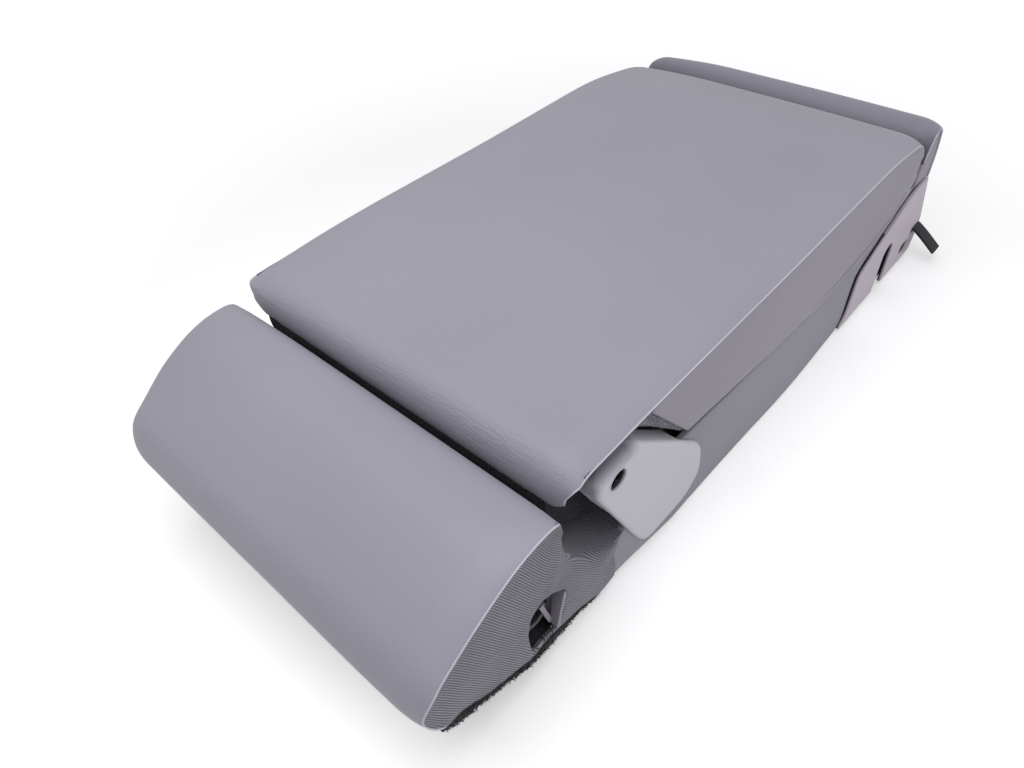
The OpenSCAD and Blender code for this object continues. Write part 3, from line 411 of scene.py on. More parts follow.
M = {k.name: k.mat for k in (
    leather("leather", (156, 155, 167), (148, 147, 159)),
    leather("arm_leather", (156, 155, 167), (148, 147, 159), creases=True),
    # Top cushion leather: a darker copy of the pad leather, painted shade for the light falling off towards
    # the far end, with the painted valley shade.
    leather("top_leather_shaded", (150, 148, 160), (142, 140, 152), valley=(52, 50, 60)),
    leather("side_vinyl", (151, 144, 156), (142, 136, 148), 0.15, 0.52, 0.1),
    leather("cover_cloth", (146, 142, 154), (134, 131, 143), 0.2, 0.62, 0.08),
    # Piping leather, painted far paler than the pads as the highlight along every seam.
    leather("welt", (206, 204, 214), (186, 184, 196), 0.2, 0.45, 0.1),
    ribbed("ribbed_cloth", (168, 163, 177), (70, 68, 80), (150, 148, 162)),
    granular("granular_cloth", (150, 148, 160), (56, 55, 64)),
    # A much darker copy of the granular cloth: painted shade for the gusset and near cloth deep under the
    # armrest.
    granular("granular_shaded", (40, 40, 48), (18, 18, 24), 1.5, (62, 62, 72), 0.05),
    felt("carpet_felt", (58, 57, 64), (24, 24, 29), (82, 80, 90)),
    # Pale ear plastic, with painted shade where it leans in under the armrest
    plastic("ear_plastic", (206, 203, 212), (198, 195, 204), (0.36, 0.5), 0.12, speck=0,
            relief=0.0002, shade=ear_painted_shade),
    # Pale end cap plastic, with painted shade on the ribs and walls behind its outer wall
    plastic("cap_plastic", (202, 192, 203), (190, 181, 192), (0.42, 0.55), 0.18, edge=0.0015,
            speck=0.2, shade=cap_painted_shade),
    plastic("core_plastic", (58, 58, 64), (44, 44, 50), (0.45, 0.6), 0.3, 1.2, 0.0008),
    plastic("bush_plastic", (216, 212, 200), (196, 192, 180), (0.35, 0.5), 0.1, 1, 0.0006),
    granular("board_cloth", (74, 73, 82), (34, 34, 40), 1.9),
    plastic("rubber", (34, 34, 38), (24, 24, 28), (0.65, 0.8), 0.3, 1, 0.001),
    # Foam darkened far below its own yellowish tone, as painted shade for the gap where it shows.
    foam_look("foam", (96, 92, 84), (70, 67, 62)),
    metal("painted_steel", (52, 54, 60), (36, 38, 43), 0.42, 0.15, 0.001, 0.2),
    metal("zinc_steel", (170, 170, 172), (128, 130, 136), 0.36, 0.85),
    metal("dark_steel", (92, 94, 100), (62, 64, 70), 0.4, 0.8),
    metal("spring_steel", (132, 134, 140), (92, 94, 100), 0.3, 0.9, 0.0002),
    webbing("webbing", (32, 32, 38), (12, 12, 15)),
)}


def new_object(name, data):
    ob = bpy.data.objects.new(name, data)
    scene.collection.objects.link(ob)
    return ob


# Meshes, made in millimetres. Edges that bend by more than these angles, in degrees, stay sharp
SHARP_ANGLE, RIM_ANGLE = 50, 48


def mesh_object(name, verts, faces, mat, uvs=None):
    me = bpy.data.meshes.new(name)
    me.from_pydata((np.asarray(verts) * MM).tolist(), [], faces)
    if uvs is not None:
        layer = me.uv_layers.new(name="weave")
        index = np.zeros(len(me.loops), np.int32)
        me.loops.foreach_get("vertex_index", index)
        layer.data.foreach_set("uv", np.asarray(uvs, np.float32)[index].ravel())
    me.materials.append(M[mat])
    me.polygons.foreach_set("use_smooth", [True] * len(me.polygons))
    me.update()
    return new_object(name, me)


def recalc(ob, sharp=None):
    """Turn the faces outwards, and mark the edges that bend by more than the sharp angle."""
    bm = bmesh.new()
    bm.from_mesh(ob.data)
    bmesh.ops.remove_doubles(bm, verts=bm.verts, dist=1e-6)
    bmesh.ops.recalc_face_normals(bm, faces=bm.faces)
    for e in bm.edges if sharp else ():
        if len(e.link_faces) == 2 and e.calc_face_angle(0) > math.radians(sharp):
            e.smooth = False
    bm.to_mesh(ob.data)
    bm.free()
    return ob


def corner_in(t, r):
    return r * (1 - np.sqrt(np.maximum(1 - t * t, 0)))


def rim_drop(d, r):
    """How far a rim of radius r has turned in at distance d from its edge."""
    return corner_in(clamp(1 - d / r), r)


def hw_at(y, hw, y0, y1, r0, r1):
    """Half width at y, pulled in round the plan's corners."""
    cut = np.zeros_like(y)
    for end, r, sign in ((y0, r0, 1), (y1, r1, -1)):
        if r > 0:
            cut = np.maximum(cut, corner_in(clamp(1 - sign * (y - end) / r), r))
    return hw - cut


# Stations across a pad: distances from its seam, and those tucked in below it with their drop
EDGE_STEPS = [0, 0.25, 0.7, 1.4, 2.3, 3.4, 4.8, 6.6, 8.8, 11.5, 14.5, 18.5, 24, 31, 40, 50, 62, 76, 92, 108]
TUCK = [(3.6, -6.5), (2.9, -4.4), (2, -2.9), (1, -1.5), (0.35, -0.6)]
# Depth of a pad's slow waves, and the wall beside its seams
WRINKLE, EDGE_WALL = 0.25, 1.6


def pad(name, outline, hw, crown, lift, corners, mat, inner, seed, reform, rim=18, step=3, side_lift=2.2,
        fades=((10, 0.5), (10, 0.5))):
    """Closed, crowned pad: outline in [y, z] swept across the width, tucked in at its two seams."""
    path = smooth(resample(outline, step), 2)
    n = len(path)
    nrm = left_of(tangents(path))
    s = np.linspace(0, 1, n)
    ramp = np.minimum(1, (4.6 * s * (1 - s)) ** 1.6)
    shoulder = along(side_lift, lift, clamp(nrm[:, 1]))
    (near_len, near_pow), (far_len, far_pow) = fades
    near_end = np.minimum(1, s * n * step / near_len) ** near_pow
    ends = near_end * np.minimum(1, (1 - s) * n * step / far_len) ** far_pow
    half = hw_at(path[:, 0], hw, *corners)
    stations = TUCK + [(d, 0) for d in EDGE_STEPS]
    order = [(-1, *st) for st in stations] + [(0, 0, 0)] + [(1, *st) for st in stations[::-1]]
    verts = []
    for side, d, drop in order:
        x = side * (half - d)
        if drop:
            h = drop * (0.35 + 0.65 * ends)
        else:
            t = clamp(1 - (half - np.abs(x)) / rim)
            h = shoulder * np.maximum(1 - t ** 2, 0) ** 0.8 * ends
            h = h + crown * (1 - (np.abs(x) / hw) ** 3) * ramp
        pts = path + nrm * h[:, None]
        if not drop:
            soft = min(1, d / 8) if side else 1
            for i in range(n):
                p = Vector((x[i] * 0.012, pts[i, 0] * 0.012, seed))
                q = Vector((x[i] * 0.05, pts[i, 0] * 0.05, seed + 7))
                pts[i] += nrm[i] * WRINKLE * soft * (noise.noise(p) + 0.35 * noise.noise(q)) * ends[i]
        thin = 1 if drop else abs(side) * max(0, 1 - d / 5)
        under = along(inner(x, path, nrm, s, drop), pts, thin)
        verts += [np.column_stack([x, pts]), np.column_stack([x - side * EDGE_WALL * thin, under])]
    faces = []
    for a in range(0, 2 * n * (len(order) - 1), 2 * n):
        b = a + 2 * n
        for i in range(n - 1):
            faces.append((a + i, b + i, b + i + 1, a + i + 1))
            faces.append((a + n + i, a + n + i + 1, b + n + i + 1, b + n + i))
        faces.append((a, a + n, b + n, b))
        faces.append((a + n - 1, b + n - 1, b + 2 * n - 1, a + 2 * n - 1))
    for a in (0, 2 * n * (len(order) - 1)):
        faces += [(a + i, a + i + 1, a + n + i + 1, a + n + i) for i in range(n - 1)]
    seam = {side: reform(np.column_stack([side * (half - 0.1), path - nrm * 0.3])) for side in (-1, 1)}
    return recalc(mesh_object(name, reform(np.vstack(verts)), faces, mat), SHARP_ANGLE), seam


def tube_faces(n, sides):
    """Faces between the n rings of a tube."""
    quads = [(k, (k + 1) % sides, sides + (k + 1) % sides, sides + k) for k in range(sides)]
    return [tuple(i * sides + v for v in quad) for i in range(n - 1) for quad in quads]


def tube(name, path, radius, mat, taper=True, sides=8):
    p = np.asarray(path, float)
    n = len(p)
    t = tangents(p)
    verts = []
    ref = np.array([0, 0, 1.0])
    for i in range(n):
        a = np.cross(t[i], ref)
        if np.linalg.norm(a) < 1e-3:
            a = np.cross(t[i], [1, 0, 0])
        a = unit(a)
        ref = np.cross(a, t[i])
        r = radius * 0.35 if taper and i in (0, n - 1) else radius
        for k in range(sides):
            w = 2 * math.pi * k / sides
            verts.append(p[i] + r * (math.cos(w) * a + math.sin(w) * ref))
    faces = tube_faces(n, sides)
    faces += [tuple(range(sides))[::-1], tuple((n - 1) * sides + k for k in range(sides))]
    return recalc(mesh_object(name, verts, faces, mat))


def inside(points, loop):
    """Whether each point lies within a loop, by the edges that cross its level beyond it."""
    y, z = points.T
    res = np.zeros(len(points), bool)
    for (y0, z0), (y1, z1) in zip(loop, np.roll(loop, -1, axis=0)):
        cross = (z0 > z) != (z1 > z)
        if cross.any():
            res ^= cross & (y < (y1 - y0) * (z - z0) / (z1 - z0) + y0)
    return res


def on_sheet(points, loops):
    """Whether points lie within the first loop and outside the others, its holes."""
    ok = inside(points, loops[0])
    for hole in loops[1:]:
        ok &= ~inside(points, hole)
    return ok


def to_segment(points, a, b):
    """Share of the way from a to b beside which each point lies, and its distance."""
    ab = b - a
    t = clamp((points - a) @ ab / max(ab @ ab, 1e-9))
    return t, np.linalg.norm(points - (a + t[:, None] * ab), axis=1)


def line_distance(points, line):
    best = np.full(len(points), 1e9)
    for a, b in zip(line[:-1], line[1:]):
        best = np.minimum(best, to_segment(points, a, b)[1])
    return best


def loop_distance(points, loops):
    best = np.full(len(points), 1e9)
    for lp in loops:
        best = np.minimum(best, line_distance(points, ringed(lp)))
    return best


def turns_left(loop):
    y, z = loop.T
    return np.sum(y * np.roll(z, -1) - np.roll(y, -1) * z) > 0


def panel(name, outline, side, height, thick, mat, step, rings, holes=(), uv=None, back=None, edge_step=2,
          reform=None):
    """Closed sheet over a [y, z] outline. height(points, rim distance, hole distance) gives how far
    out its face lies, back(...) its rear; rings are the distances of its rows of points from the rim."""
    loops = [resample(outline, edge_step, True)]
    loops += [resample(h, min(edge_step, 1.2), True) for h in holes]
    lo, hi = loops[0].min(0), loops[0].max(0)
    row = step * 0.87
    grid = np.array([(lo[0] + (i + 0.5 * (j % 2)) * step, lo[1] + j * row)
                     for i in range(int((hi[0] - lo[0]) / step) + 2)
                     for j in range(int((hi[1] - lo[1]) / row) + 2)])
    pool, limit = [grid], [np.full(len(grid), max(rings) + 0.5 * step)]
    for i, lp in enumerate(loops):
        inward = 1 if turns_left(lp) == (i == 0) else -1
        pool += [moved(lp, inward * r, True) for r in rings]
        limit += [np.full(len(lp), 0.92 * r) for r in rings]
    cand = np.vstack(pool)
    far_in = loop_distance(cand, loops) > np.concatenate(limit)
    pts = np.vstack(loops + [cand[on_sheet(cand, loops) & far_in]])
    edges, at = [], 0
    for lp in loops:
        edges += [(at + i, at + (i + 1) % len(lp)) for i in range(len(lp))]
        at += len(lp)
    out = delaunay_2d_cdt([Vector(p) for p in pts], edges, [], 0, 1e-5)
    v2 = np.array([list(v) for v in out[0]])
    tri = np.array([f for f in out[2]])
    tri = tri[on_sheet(v2[tri].mean(axis=1), loops)]
    d, dh = loop_distance(v2, loops[:1]), loop_distance(v2, loops[1:])
    front = height(v2, d, dh)
    rear = back(v2, d, dh) if back else front - thick
    n = len(v2)
    verts = np.vstack([np.column_stack([side * front, v2]), np.column_stack([side * rear, v2])])
    faces = [tuple(int(a) for a in f) for f in tri]
    border = {}
    for f in faces:
        for a, b in ((f[0], f[1]), (f[1], f[2]), (f[2], f[0])):
            key = (min(a, b), max(a, b))
            border[key] = None if key in border else (a, b)
    rim = [e for e in border.values() if e]
    faces += [(f[2] + n, f[1] + n, f[0] + n) for f in faces]
    faces += [(a, b, b + n, a + n) for a, b in rim]
    uvs = None if uv is None else np.tile(uv(v2), (2, 1))
    if reform:
        verts = reform(verts)
    return recalc(mesh_object(name, verts, faces, mat, uvs), RIM_ANGLE)


def waves(points, scale, seed):
    return np.array([noise.noise(Vector((p[0] * scale, p[1] * scale, seed))) for p in points])


def sheet_strip(name, rows, thick_dir, thick, mat, uvs=None):
    """Closed strip from a grid of points [rows][columns], thickened along thick_dir."""
    rows = np.asarray(rows, float)
    m, n = rows.shape[:2]
    top = rows.reshape(-1, 3)
    bot = (rows + thick_dir * thick).reshape(-1, 3)
    faces = []
    k = m * n
    for i in range(m - 1):
        for j in range(n - 1):
            a, b, c, d = i * n + j, i * n + j + 1, (i + 1) * n + j + 1, (i + 1) * n + j
            faces += [(a, b, c, d), (d + k, c + k, b + k, a + k)]
    rim = [(i * n + j, (i + 1) * n + j) for i in range(m - 1) for j in (0, n - 1)]
    rim += [(i * n + j, i * n + j + 1) for j in range(n - 1) for i in (0, m - 1)]
    faces += [(a, b, b + k, a + k) for a, b in rim]
    if uvs is not None:
        uvs = np.tile(np.asarray(uvs).reshape(-1, 2), (2, 1))
    return recalc(mesh_object(name, np.vstack([top, bot]), faces, mat, uvs), SHARP_ANGLE)


def upright(directions):
    """Directions [y, z] as one row of [x, y, z]."""
    return np.column_stack([np.zeros(len(directions)), directions])[None]


def at_x(x, line):
    """Line [y, z] as points [x, y, z]."""
    return np.column_stack([np.broadcast_to(x, len(line)), line])


def dress(ob, body, replaces=()):
    """Hang a piece on the body it rides on, and hide the nodes that it stands for."""
    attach(ob, body)
    if replaces:
        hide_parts(*replaces)


# Camera, floor and light, in metres
def add_camera(focal_px=740, width_px=1024, sensor_mm=36):
    data = bpy.data.cameras.new("camera")
    data.sensor_width = sensor_mm
    data.lens = focal_px / width_px * sensor_mm
    data.clip_start, data.clip_end = 0.01, 50
    cam = new_object("camera", data)
    right = Vector((0.74644165, 0.66360089, -0.04958552))
    down = Vector((0.4393173, -0.54738396, -0.71229987))
    ahead = Vector((-0.49982515, 0.50990651, -0.70012154))
    m = Matrix((right, -down, -ahead)).transposed().to_4x4()
    m.translation = Vector((0.2434, -0.3434, 0.3929))
    cam.matrix_world = m
    bpy.context.scene.camera = cam


def area_light(name, at, aim, size, power, tone=(1, 1, 1)):
    data = bpy.data.lights.new(name, "AREA")
    data.shape = "RECTANGLE"
    data.size, data.size_y = size
    data.energy = power
    data.color = tone
    ob = new_object(name, data)
    ob.location = at
    ob.rotation_euler = (Vector(aim) - Vector(at)).to_track_quat("-Z", "Y").to_euler()


def add_world():
    """Soft light from all round; rays from the camera or a gloss see a white backdrop."""
    world = bpy.data.worlds.new("studio")
    scene.world = world
    world.use_nodes = True
    t = world.node_tree
    t.nodes.clear()
    ray = add_node(t, "LightPath").outputs
    direct = add_node(t, "Math", {0: ray["Is Camera Ray"], 1: ray["Is Transmission Ray"]},
                      operation="MAXIMUM").outputs[0]
    seen = add_node(t, "Math", {0: direct, 1: ray["Is Glossy Ray"]}, operation="MAXIMUM").outputs[0]
    lit = add_node(t, "Background", {"Color": (0.95, 0.96, 1, 1), "Strength": 0.30}).outputs[0]
    backdrop = add_node(t, "Background", {"Color": (1, 1, 1, 1), "Strength": 1}).outputs[0]
    both = add_node(t, "MixShader", {0: seen, 1: lit, 2: backdrop}).outputs[0]
    add_node(t, "OutputWorld", {"Surface": both})


def add_floor(reach=8, below=-0.0004):
    """Pale floor with a painted glow for camera rays, weak beside the part, where its shadow falls, and full
    away from it, so that it meets the backdrop.
    """
    k = Look("floor")
    k.set(Base_Color=k.mix(k.noise(2, 2), (0.93, 0.93, 0.93, 1), (0.95, 0.95, 0.95, 1)),
          Roughness=0.95, Specular_IOR_Level=0.1)
    away = k.add("VectorMath", {0: k.place}, operation="LENGTH").outputs["Value"]
    camera_ray = k.add("LightPath").outputs["Is Camera Ray"]
    # Painted glow: from 0.36 within 0.42 m of the origin up to 1 at 1.3 m, for camera rays only.
    seen = k.math("MULTIPLY", camera_ray, k.level(away, 0.36, 1, 0.42, 1.3))
    floor_glow = k.add("Emission", {"Color": (1, 1, 1, 1), "Strength": seen}).outputs[0]
    both = k.add("AddShader", {0: k.bsdf.outputs[0], 1: floor_glow}).outputs[0]
    feed(k.t, next(n for n in k.t.nodes if n.type == "OUTPUT_MATERIAL").inputs["Surface"], both)
    mesh = bpy.data.meshes.new("floor")
    corners = [(x * reach, y * reach, below) for x, y in ((-1, -1), (1, -1), (1, 1), (-1, 1))]
    mesh.from_pydata(corners, [], [(0, 1, 2, 3)])
    mesh.materials.append(k.mat)
    floor = new_object("floor", mesh)


add_camera()
area_light("key", (0.05, -0.30, 0.85), (0, -0.05, 0.1), (0.7, 0.7), 4.9)
area_light("side", (1.5, 0.4, 0.6), (0, 0, 0.08), (1, 0.8), 5.2, (1, 0.985, 0.99))
add_world()
add_floor()


# Leather pads. The inner skins reach deep into the foam between their two sides
def core_side(shell, deep, x, hw, run):
    """Shell near the sides, deep in the middle."""
    w = clamp((hw - np.abs(x)) / run)[:, None]
    return shell * (1 - w) + deep * w


def arm_inner(x, path, nrm, s, drop):
    end = np.minimum(1, np.minimum(s, 1 - s) * 12)[:, None]
    shell = path - nrm * 7 * end - nrm * 0.4 if drop else path - nrm * (2.4 + 2.6 * end)
    y = np.clip(path[:, 0], pivot_y - 27, nose_y - 22)
    return core_side(shell, np.column_stack([y, np.full(len(path), core_top_h + 0.6)]), x, core_hw, 4)


def roll_inner(x, path, nrm, s, drop):
    shell = path - nrm * (3 + 4 * np.minimum(1, np.minimum(s, 1 - s) * 10))[:, None]
    mid = np.array([-232, 84])
    return core_side(shell, mid + (path - mid) * 0.42, x, 88, 10)


def strip_inner(x, path, nrm, s, drop):
    mid = np.array([244, 96])
    return core_side(path - nrm * 3.2, mid + (path - mid) * 0.35, x, arm_hw - 8, 6)


def sag_left(x, y, y0, y1, middle, ends):
    """How far the worn left shoulder lies lower, most at its two ends."""
    out = clamp((-x - 45) / 80) ** 2
    end = 1 - clamp(np.minimum(y - y0, y1 - y) / 110)
    return out * (middle + ends * end ** 1.5)


def worn_nose(y):
    """How far the left nose of the roll is pulled in at height of its seam's end."""
    return 3.8 * np.exp(-((y + 277) / 16) ** 2)


def arm_sag(v):
    """Let the armrest's left shoulder down; beside the pivot only what lies above the overhang."""
    v = np.array(v, float)
    x, y, z = v.T
    far = clamp((y - lip_y) / 25)
    high = clamp((z - along(overhang_h - 0.5, 92, far)) / along(6.5, 40, far))
    v[:, 2] = z - sag_left(x, y, near_face_y, nose_y, 2.2, 3) * high
    return v


def arm_form(v, top=135):
    """Pull the chin up beside the pivot covers and let the left shoulder down."""
    v = np.array(v, float)
    x, y, z = v.T
    t = clamp((np.abs(x) - 111.5) / 13)
    hem = chin_h + 0.5 + (overhang_h - 5.5 - chin_h) * t ** 1.5
    near = (y < pivot_y - 20) & (z < top)
    above = (np.maximum(z, chin_h) - chin_h) * (top - hem) / (top - chin_h)
    lifted = hem + above + np.minimum(z - chin_h, 0)
    v[:, 2] = np.where(near & (np.abs(x) > core_hw), lifted, z)
    return arm_sag(v)


def roll_form(v):
    v = np.array(v, float)
    x, y, z = v.T
    sag = sag_left(x, y, near_y - 40, roll_back_y + 60, 2.6, 0.5)
    v[:, 2] = z - sag * clamp((z - 70) / 40)
    v[:, 0] = x + worn_nose(y) * clamp((-x - 95) / 25)
    return v


def strip_form(v):
    v = np.array(v, float)
    low = 5 * np.clip((-v[:, 0] - 45) / 75, 0, 1.1) ** 1.6
    v[:, 2] -= low * clamp((v[:, 2] - 95) / 20)
    return v


arm_top = np.vstack([[[near_face_y - 1.3, chin_h], [near_face_y - 1, chin_h + 8]], arm_curve])
arm_plan = (near_face_y - 0.8, nose_y + 0.5, 5, arm_nose_r)
roll_plan = (near_y, roll_back_y + 2.5, roll_nose_r, 6)
top_plan = (strip_y, strip_far_y + 0.5, 2.5, 3)
arm_pad, arm_seam = pad("armrest_pad", arm_top, arm_hw, 2.2, 4.8, arm_plan, "arm_leather", arm_inner,
                        seed=1, reform=arm_form)
dress(arm_pad, "armrest", ("arm_cover", "arm_foam"))
roll_pad, roll_seam = pad("roll_pad", roll_curve, roll_hw, 1.2, 4, roll_plan, "leather", roll_inner,
                          seed=4, side_lift=2.6, reform=roll_form, fades=((10, 0.5), (50, 1)))
dress(roll_pad, "root", ("roll_cover", "roll_foam"))
top_pad, top_seam = pad("top_pad", top_seam_curve, arm_hw, 0.6, 4.6, top_plan, "top_leather_shaded", strip_inner,
                        rim=15, seed=9, step=2.4, reform=strip_form)
dress(top_pad, "root", ("top_cover", "top_foam"))

seams = (("armrest", arm_seam, "armrest"), ("roll", roll_seam, "root"), ("top", top_seam, "root"))
for side, tag in SIDES:
    for nm, seam, body in seams:
        dress(tube(f"{nm}_welt_{tag}", seam[side], 0.55, "welt"), body)

# Side bands of the armrest
upper = [p for p in moved(resample(arm_curve, 2), -0.3) if p[0] > lip_y and p[1] > band_far_h + 8]
band_outline = np.vstack([[[lip_y - 1, overhang_h + 2.5]], upper, band_edge[::-1]])
band_lower = resample(band_edge, 3)


def arm_side(y):
    return hw_at(y, arm_hw, -1e4, nose_y + 0.5, 0, arm_nose_r)


def band_height(p, d, dh):
    low = line_distance(p, band_lower)
    fold = clamp((p[:, 0] - 60) / 50)
    stitch = (0.7 * np.exp(-((low - 5.6) / 1.5) ** 2) - 1.1 * np.exp(-((low - 8.2) / 0.8) ** 2)) * fold
    puff = 0.9 * (1 - np.exp(-d / 9))
    return arm_side(p[:, 0]) - 0.1 + puff - rim_drop(d, 0.7) + stitch + 0.18 * waves(p, 0.03, 3)


def band_back(p, d, dh):
    return arm_side(p[:, 0]) - 3.2


for side, tag in SIDES:
    band = panel(f"armrest_band_{tag}", band_outline, side, band_height, 2.5, "side_vinyl", 5,
                 (0.35, 0.9, 1.7, 3, 4.4, 5.6, 6.8, 7.5, 8.2, 8.9, 9.8), back=band_back, reform=arm_form)
    dress(band, "armrest", (f"arm_band_{tag}",))
    hem = at_x(side * (arm_side(band_lower[:, 0]) - 1.2), band_lower + (0, 0.5))
    dress(tube(f"armrest_hem_{tag}", hem, 0.8, "side_vinyl"), "armrest")

# Near end of the armrest
near_arc = arc(pivot_y, pivot_h, swing_r, 174, 298, 58)
xs = np.concatenate([np.linspace(-107.9, -100, 5), np.linspace(-95, 95, 41), np.linspace(100, 107.9, 5)])
# The near cloth takes the darkened granular copy, painted shade for the gap beside the roll.
near_cloth = sheet_strip("armrest_near_cloth", [at_x(x, near_arc) for x in xs],
                         upright(((pivot_y, pivot_h) - near_arc) / swing_r), 1.6, "granular_shaded")
dress(near_cloth, "armrest", ("arm_near_cloth",))

gusset_wall = np.vstack([
    arc(pivot_y, pivot_h, swing_r, 170, 296, 24),
    [(notch_y - 6, band_near_h + 1), (lip_y - 6, overhang_h - 0.5), (pivot_y - 24, overhang_h - 0.5)]])
pivot_hole = arc(pivot_y, pivot_h, 11.5, 0, 345, 23)
skirt_path = resample(smooth([
    (near_face_y + 7, overhang_h - 0.4), (near_face_y + 30, overhang_h - 0.3),
    (lip_y - 16, overhang_h - 0.2), (lip_y - 9.5, overhang_h - 1.4), (lip_y - 5.5, overhang_h - 4.8),
    (notch_y - 4.5, band_near_h + 1.3), (notch_y - 2.5, band_near_h - 0.8)], 1), 2)
skirt_out = left_of(tangents(skirt_path))
cuff = clamp((skirt_path[:, 0] - (lip_y - 12)) / 7)
# Columns of the skirt: how far out and how far up each lies, ahead of the cuff and on it
SKIRT = (
    (gusset_out - 0.6, 0, gusset_out - 0.6, 0), (112, 0, 112, 0), (116, 0.05, 116, 0.05),
    (119.5, 0.2, 119.3, 0.2), (121.6, 0.6, 121.2, 0.6), (122.9, 1.4, 122.3, 1.4), (123.5, 2.6, 122.8, 3),
    (124, 3.8, 123, 5.2), (124.5, 4.8, 123, 7.4), (124.8, 5.5, 122.9, 9.6))


def gusset_height(p, d, dh):
    return np.full(len(p), gusset_out - 0.05)


for side, tag in SIDES:
    # The gusset wall takes the darkened granular copy, painted shade under the overhang; the skirt keeps the
    # plain cloth.
    gus = panel(f"armrest_gusset_{tag}", gusset_wall, side, gusset_height, 1, "granular_shaded", 4,
                (0.6, 1.5), holes=(pivot_hole,), reform=arm_sag)
    dress(gus, "armrest", (f"arm_gusset_{tag}",))
    cols = []
    for x, off, cuff_x, cuff_off in SKIRT:
        line = skirt_path + skirt_out * along(off, cuff_off, cuff)[:, None]
        cols.append(arm_sag(at_x(side * along(x, cuff_x, cuff), line)))
    skirt_in = np.array([-side * 0.35, 0, 0.94])
    skirt = sheet_strip(f"armrest_skirt_{tag}", cols, skirt_in, 0.7, "granular_cloth")
    dress(skirt, "armrest")

# The roll's ribbed sides
seam_low = moved(resample(roll_curve, 2), -0.4)
hung_curve = resample(carpet_curve, 2)
hung_curve -= np.outer(3.6 * clamp((-186 - hung_curve[:, 0]) / 28), (0.44, 0.9))
low = np.array([p for p in resample(moved(hung_curve, 0.9), 3) if p[0] < tuck_y - 4])
side_outline = np.vstack([
    seam_low, [p for p in valley_curve if p[0] < tuck_y],
    [[tuck_y - 3, 38], [tuck_y + 1, 14], [tuck_y - 3, 1.2]], low[::-1]])
seam_line = resample(seam_low, 4)
valley_line = resample(valley_curve, 3)
valley_line = valley_line[valley_line[:, 0] < tuck_y]
# Folds of the cloth: where they start and end, their height and their width
FOLDS = (
    ([(-222, 62), (-262, 80)], 0.9, 5), ([(-219, 34), (-255, 44)], 0.8, 5),
    ([(-206, 74), (-200, 100)], 0.9, 4.5), ([(-197, 68), (-168, 56)], 0.9, 4.5),
    ([(-196, 40), (-164, 30)], 0.7, 5), ([(-216, 70), (-228, 104)], 0.6, 6))


def rib_uv(p):
    """Where a point lies in the weave; the ribs bend round the opening."""
    y, z = p[:, 0], p[:, 1]
    bend = 5 * np.exp(-(((y - hinge_y - 8) / 17) ** 2 + ((z - hinge_h - 8) / 15) ** 2))
    back = clamp((y + 216) / 26)
    back = back * back * (3 - 2 * back)
    return np.stack([0.87 * y + 0.44 * z + 0.28 * back * (z - 104) - bend, -0.52 * y + 0.85 * z], axis=1)


def tucked(p):
    """How far the cloth and the side cover turn in under, towards their lower edge."""
    y, z = p[:, 0], p[:, 1]
    along_side = clamp((y + 222) / 45) * clamp((-85 - y) / 65)
    floor_line = np.maximum(0.487 * (slope_y - y), 0)
    return 5.6 * along_side * clamp(1 - (z - floor_line - 1) / 22) ** 2


def valley_round(y):
    """Radius that turns the cloth into the valley behind the roll."""
    return 1.2 + 5.6 * clamp((y + 197) / 9) * clamp((-153 - y) / 9)


def side_height(p, d, dh):
    puff = 1.1 * (1 - np.exp(-np.minimum(d, dh) / 12))
    puff += 2.5 * np.exp(-line_distance(p, seam_line) / 4) - rim_drop(d, 0.7)
    puff -= rim_drop(line_distance(p, valley_line), valley_round(p[:, 0]))
    fold = np.zeros(len(p))
    for line, amp, wide in FOLDS:
        t, dist = to_segment(p, *np.array(line, float))
        fold += amp * np.exp(-(dist / wide) ** 2) * (1 - 0.75 * t)
    nose = roll_hw - hw_at(p[:, 0], roll_hw, near_y, 1e4, roll_nose_r, 0)
    return roll_side_out + puff + fold - nose - tucked(p) - rim_drop(dh, 1.4) + 0.3 * waves(p, 0.05, 11)


for side, tag in SIDES:
    cloth = panel(f"roll_cloth_{tag}", side_outline, side, side_height, 1.6, "ribbed_cloth", 3,
                  (0.4, 1, 1.8), holes=(hinge_hole,), uv=rib_uv, reform=roll_form)
    dress(cloth, "root", (f"roll_side_{tag}",))
    ring = ringed(resample(hinge_hole, 2, True))
    out = side_height(ring, np.zeros(len(ring)), np.zeros(len(ring)))
    hem = at_x(side * (out + 0.2), ring)
    dress(tube(f"roll_hole_hem_{tag}", hem, 0.6, "board_cloth", taper=False), "root")
    fold_line = resample(valley_curve, 2)
    fold_line = fold_line[:int(np.argmax(fold_line[:, 0] > -190))]
    out = side_height(fold_line, np.zeros(len(fold_line)), np.full(len(fold_line), 9))
    hem = at_x(side * (out + 0.9), fold_line + (0.2, 0.3))
    dress(tube(f"valley_hem_{tag}", hem, 0.75, "granular_cloth"), "root")
    for nm, line, out, deep, wide in (
            ("flange", ((hinge_y + 16.5, hinge_h + 7), (hinge_y + 10.5, hinge_h - 21)), 123.3, 13, 2.8),
            ("lip", ((hinge_y + 2.5, hinge_h + 5), (hinge_y + 9.5, hinge_h - 19)), 119, 8, 2.6)):
        a, b = np.array(line, float)
        across = unit(np.array([b[1] - a[1], a[0] - b[0]]))
        rows = [at_x(side * x, [along(a, b, t) - across * k for t in np.linspace(0, 1, 12)])
                for x, k in ((out, 0), (out - 0.4 * deep, 0.5), (out - deep, 1.5))]
        strip = sheet_strip(f"hole_{nm}_{tag}", rows, np.array([0, *-across]), wide, "side_vinyl")
        dress(strip, "root")

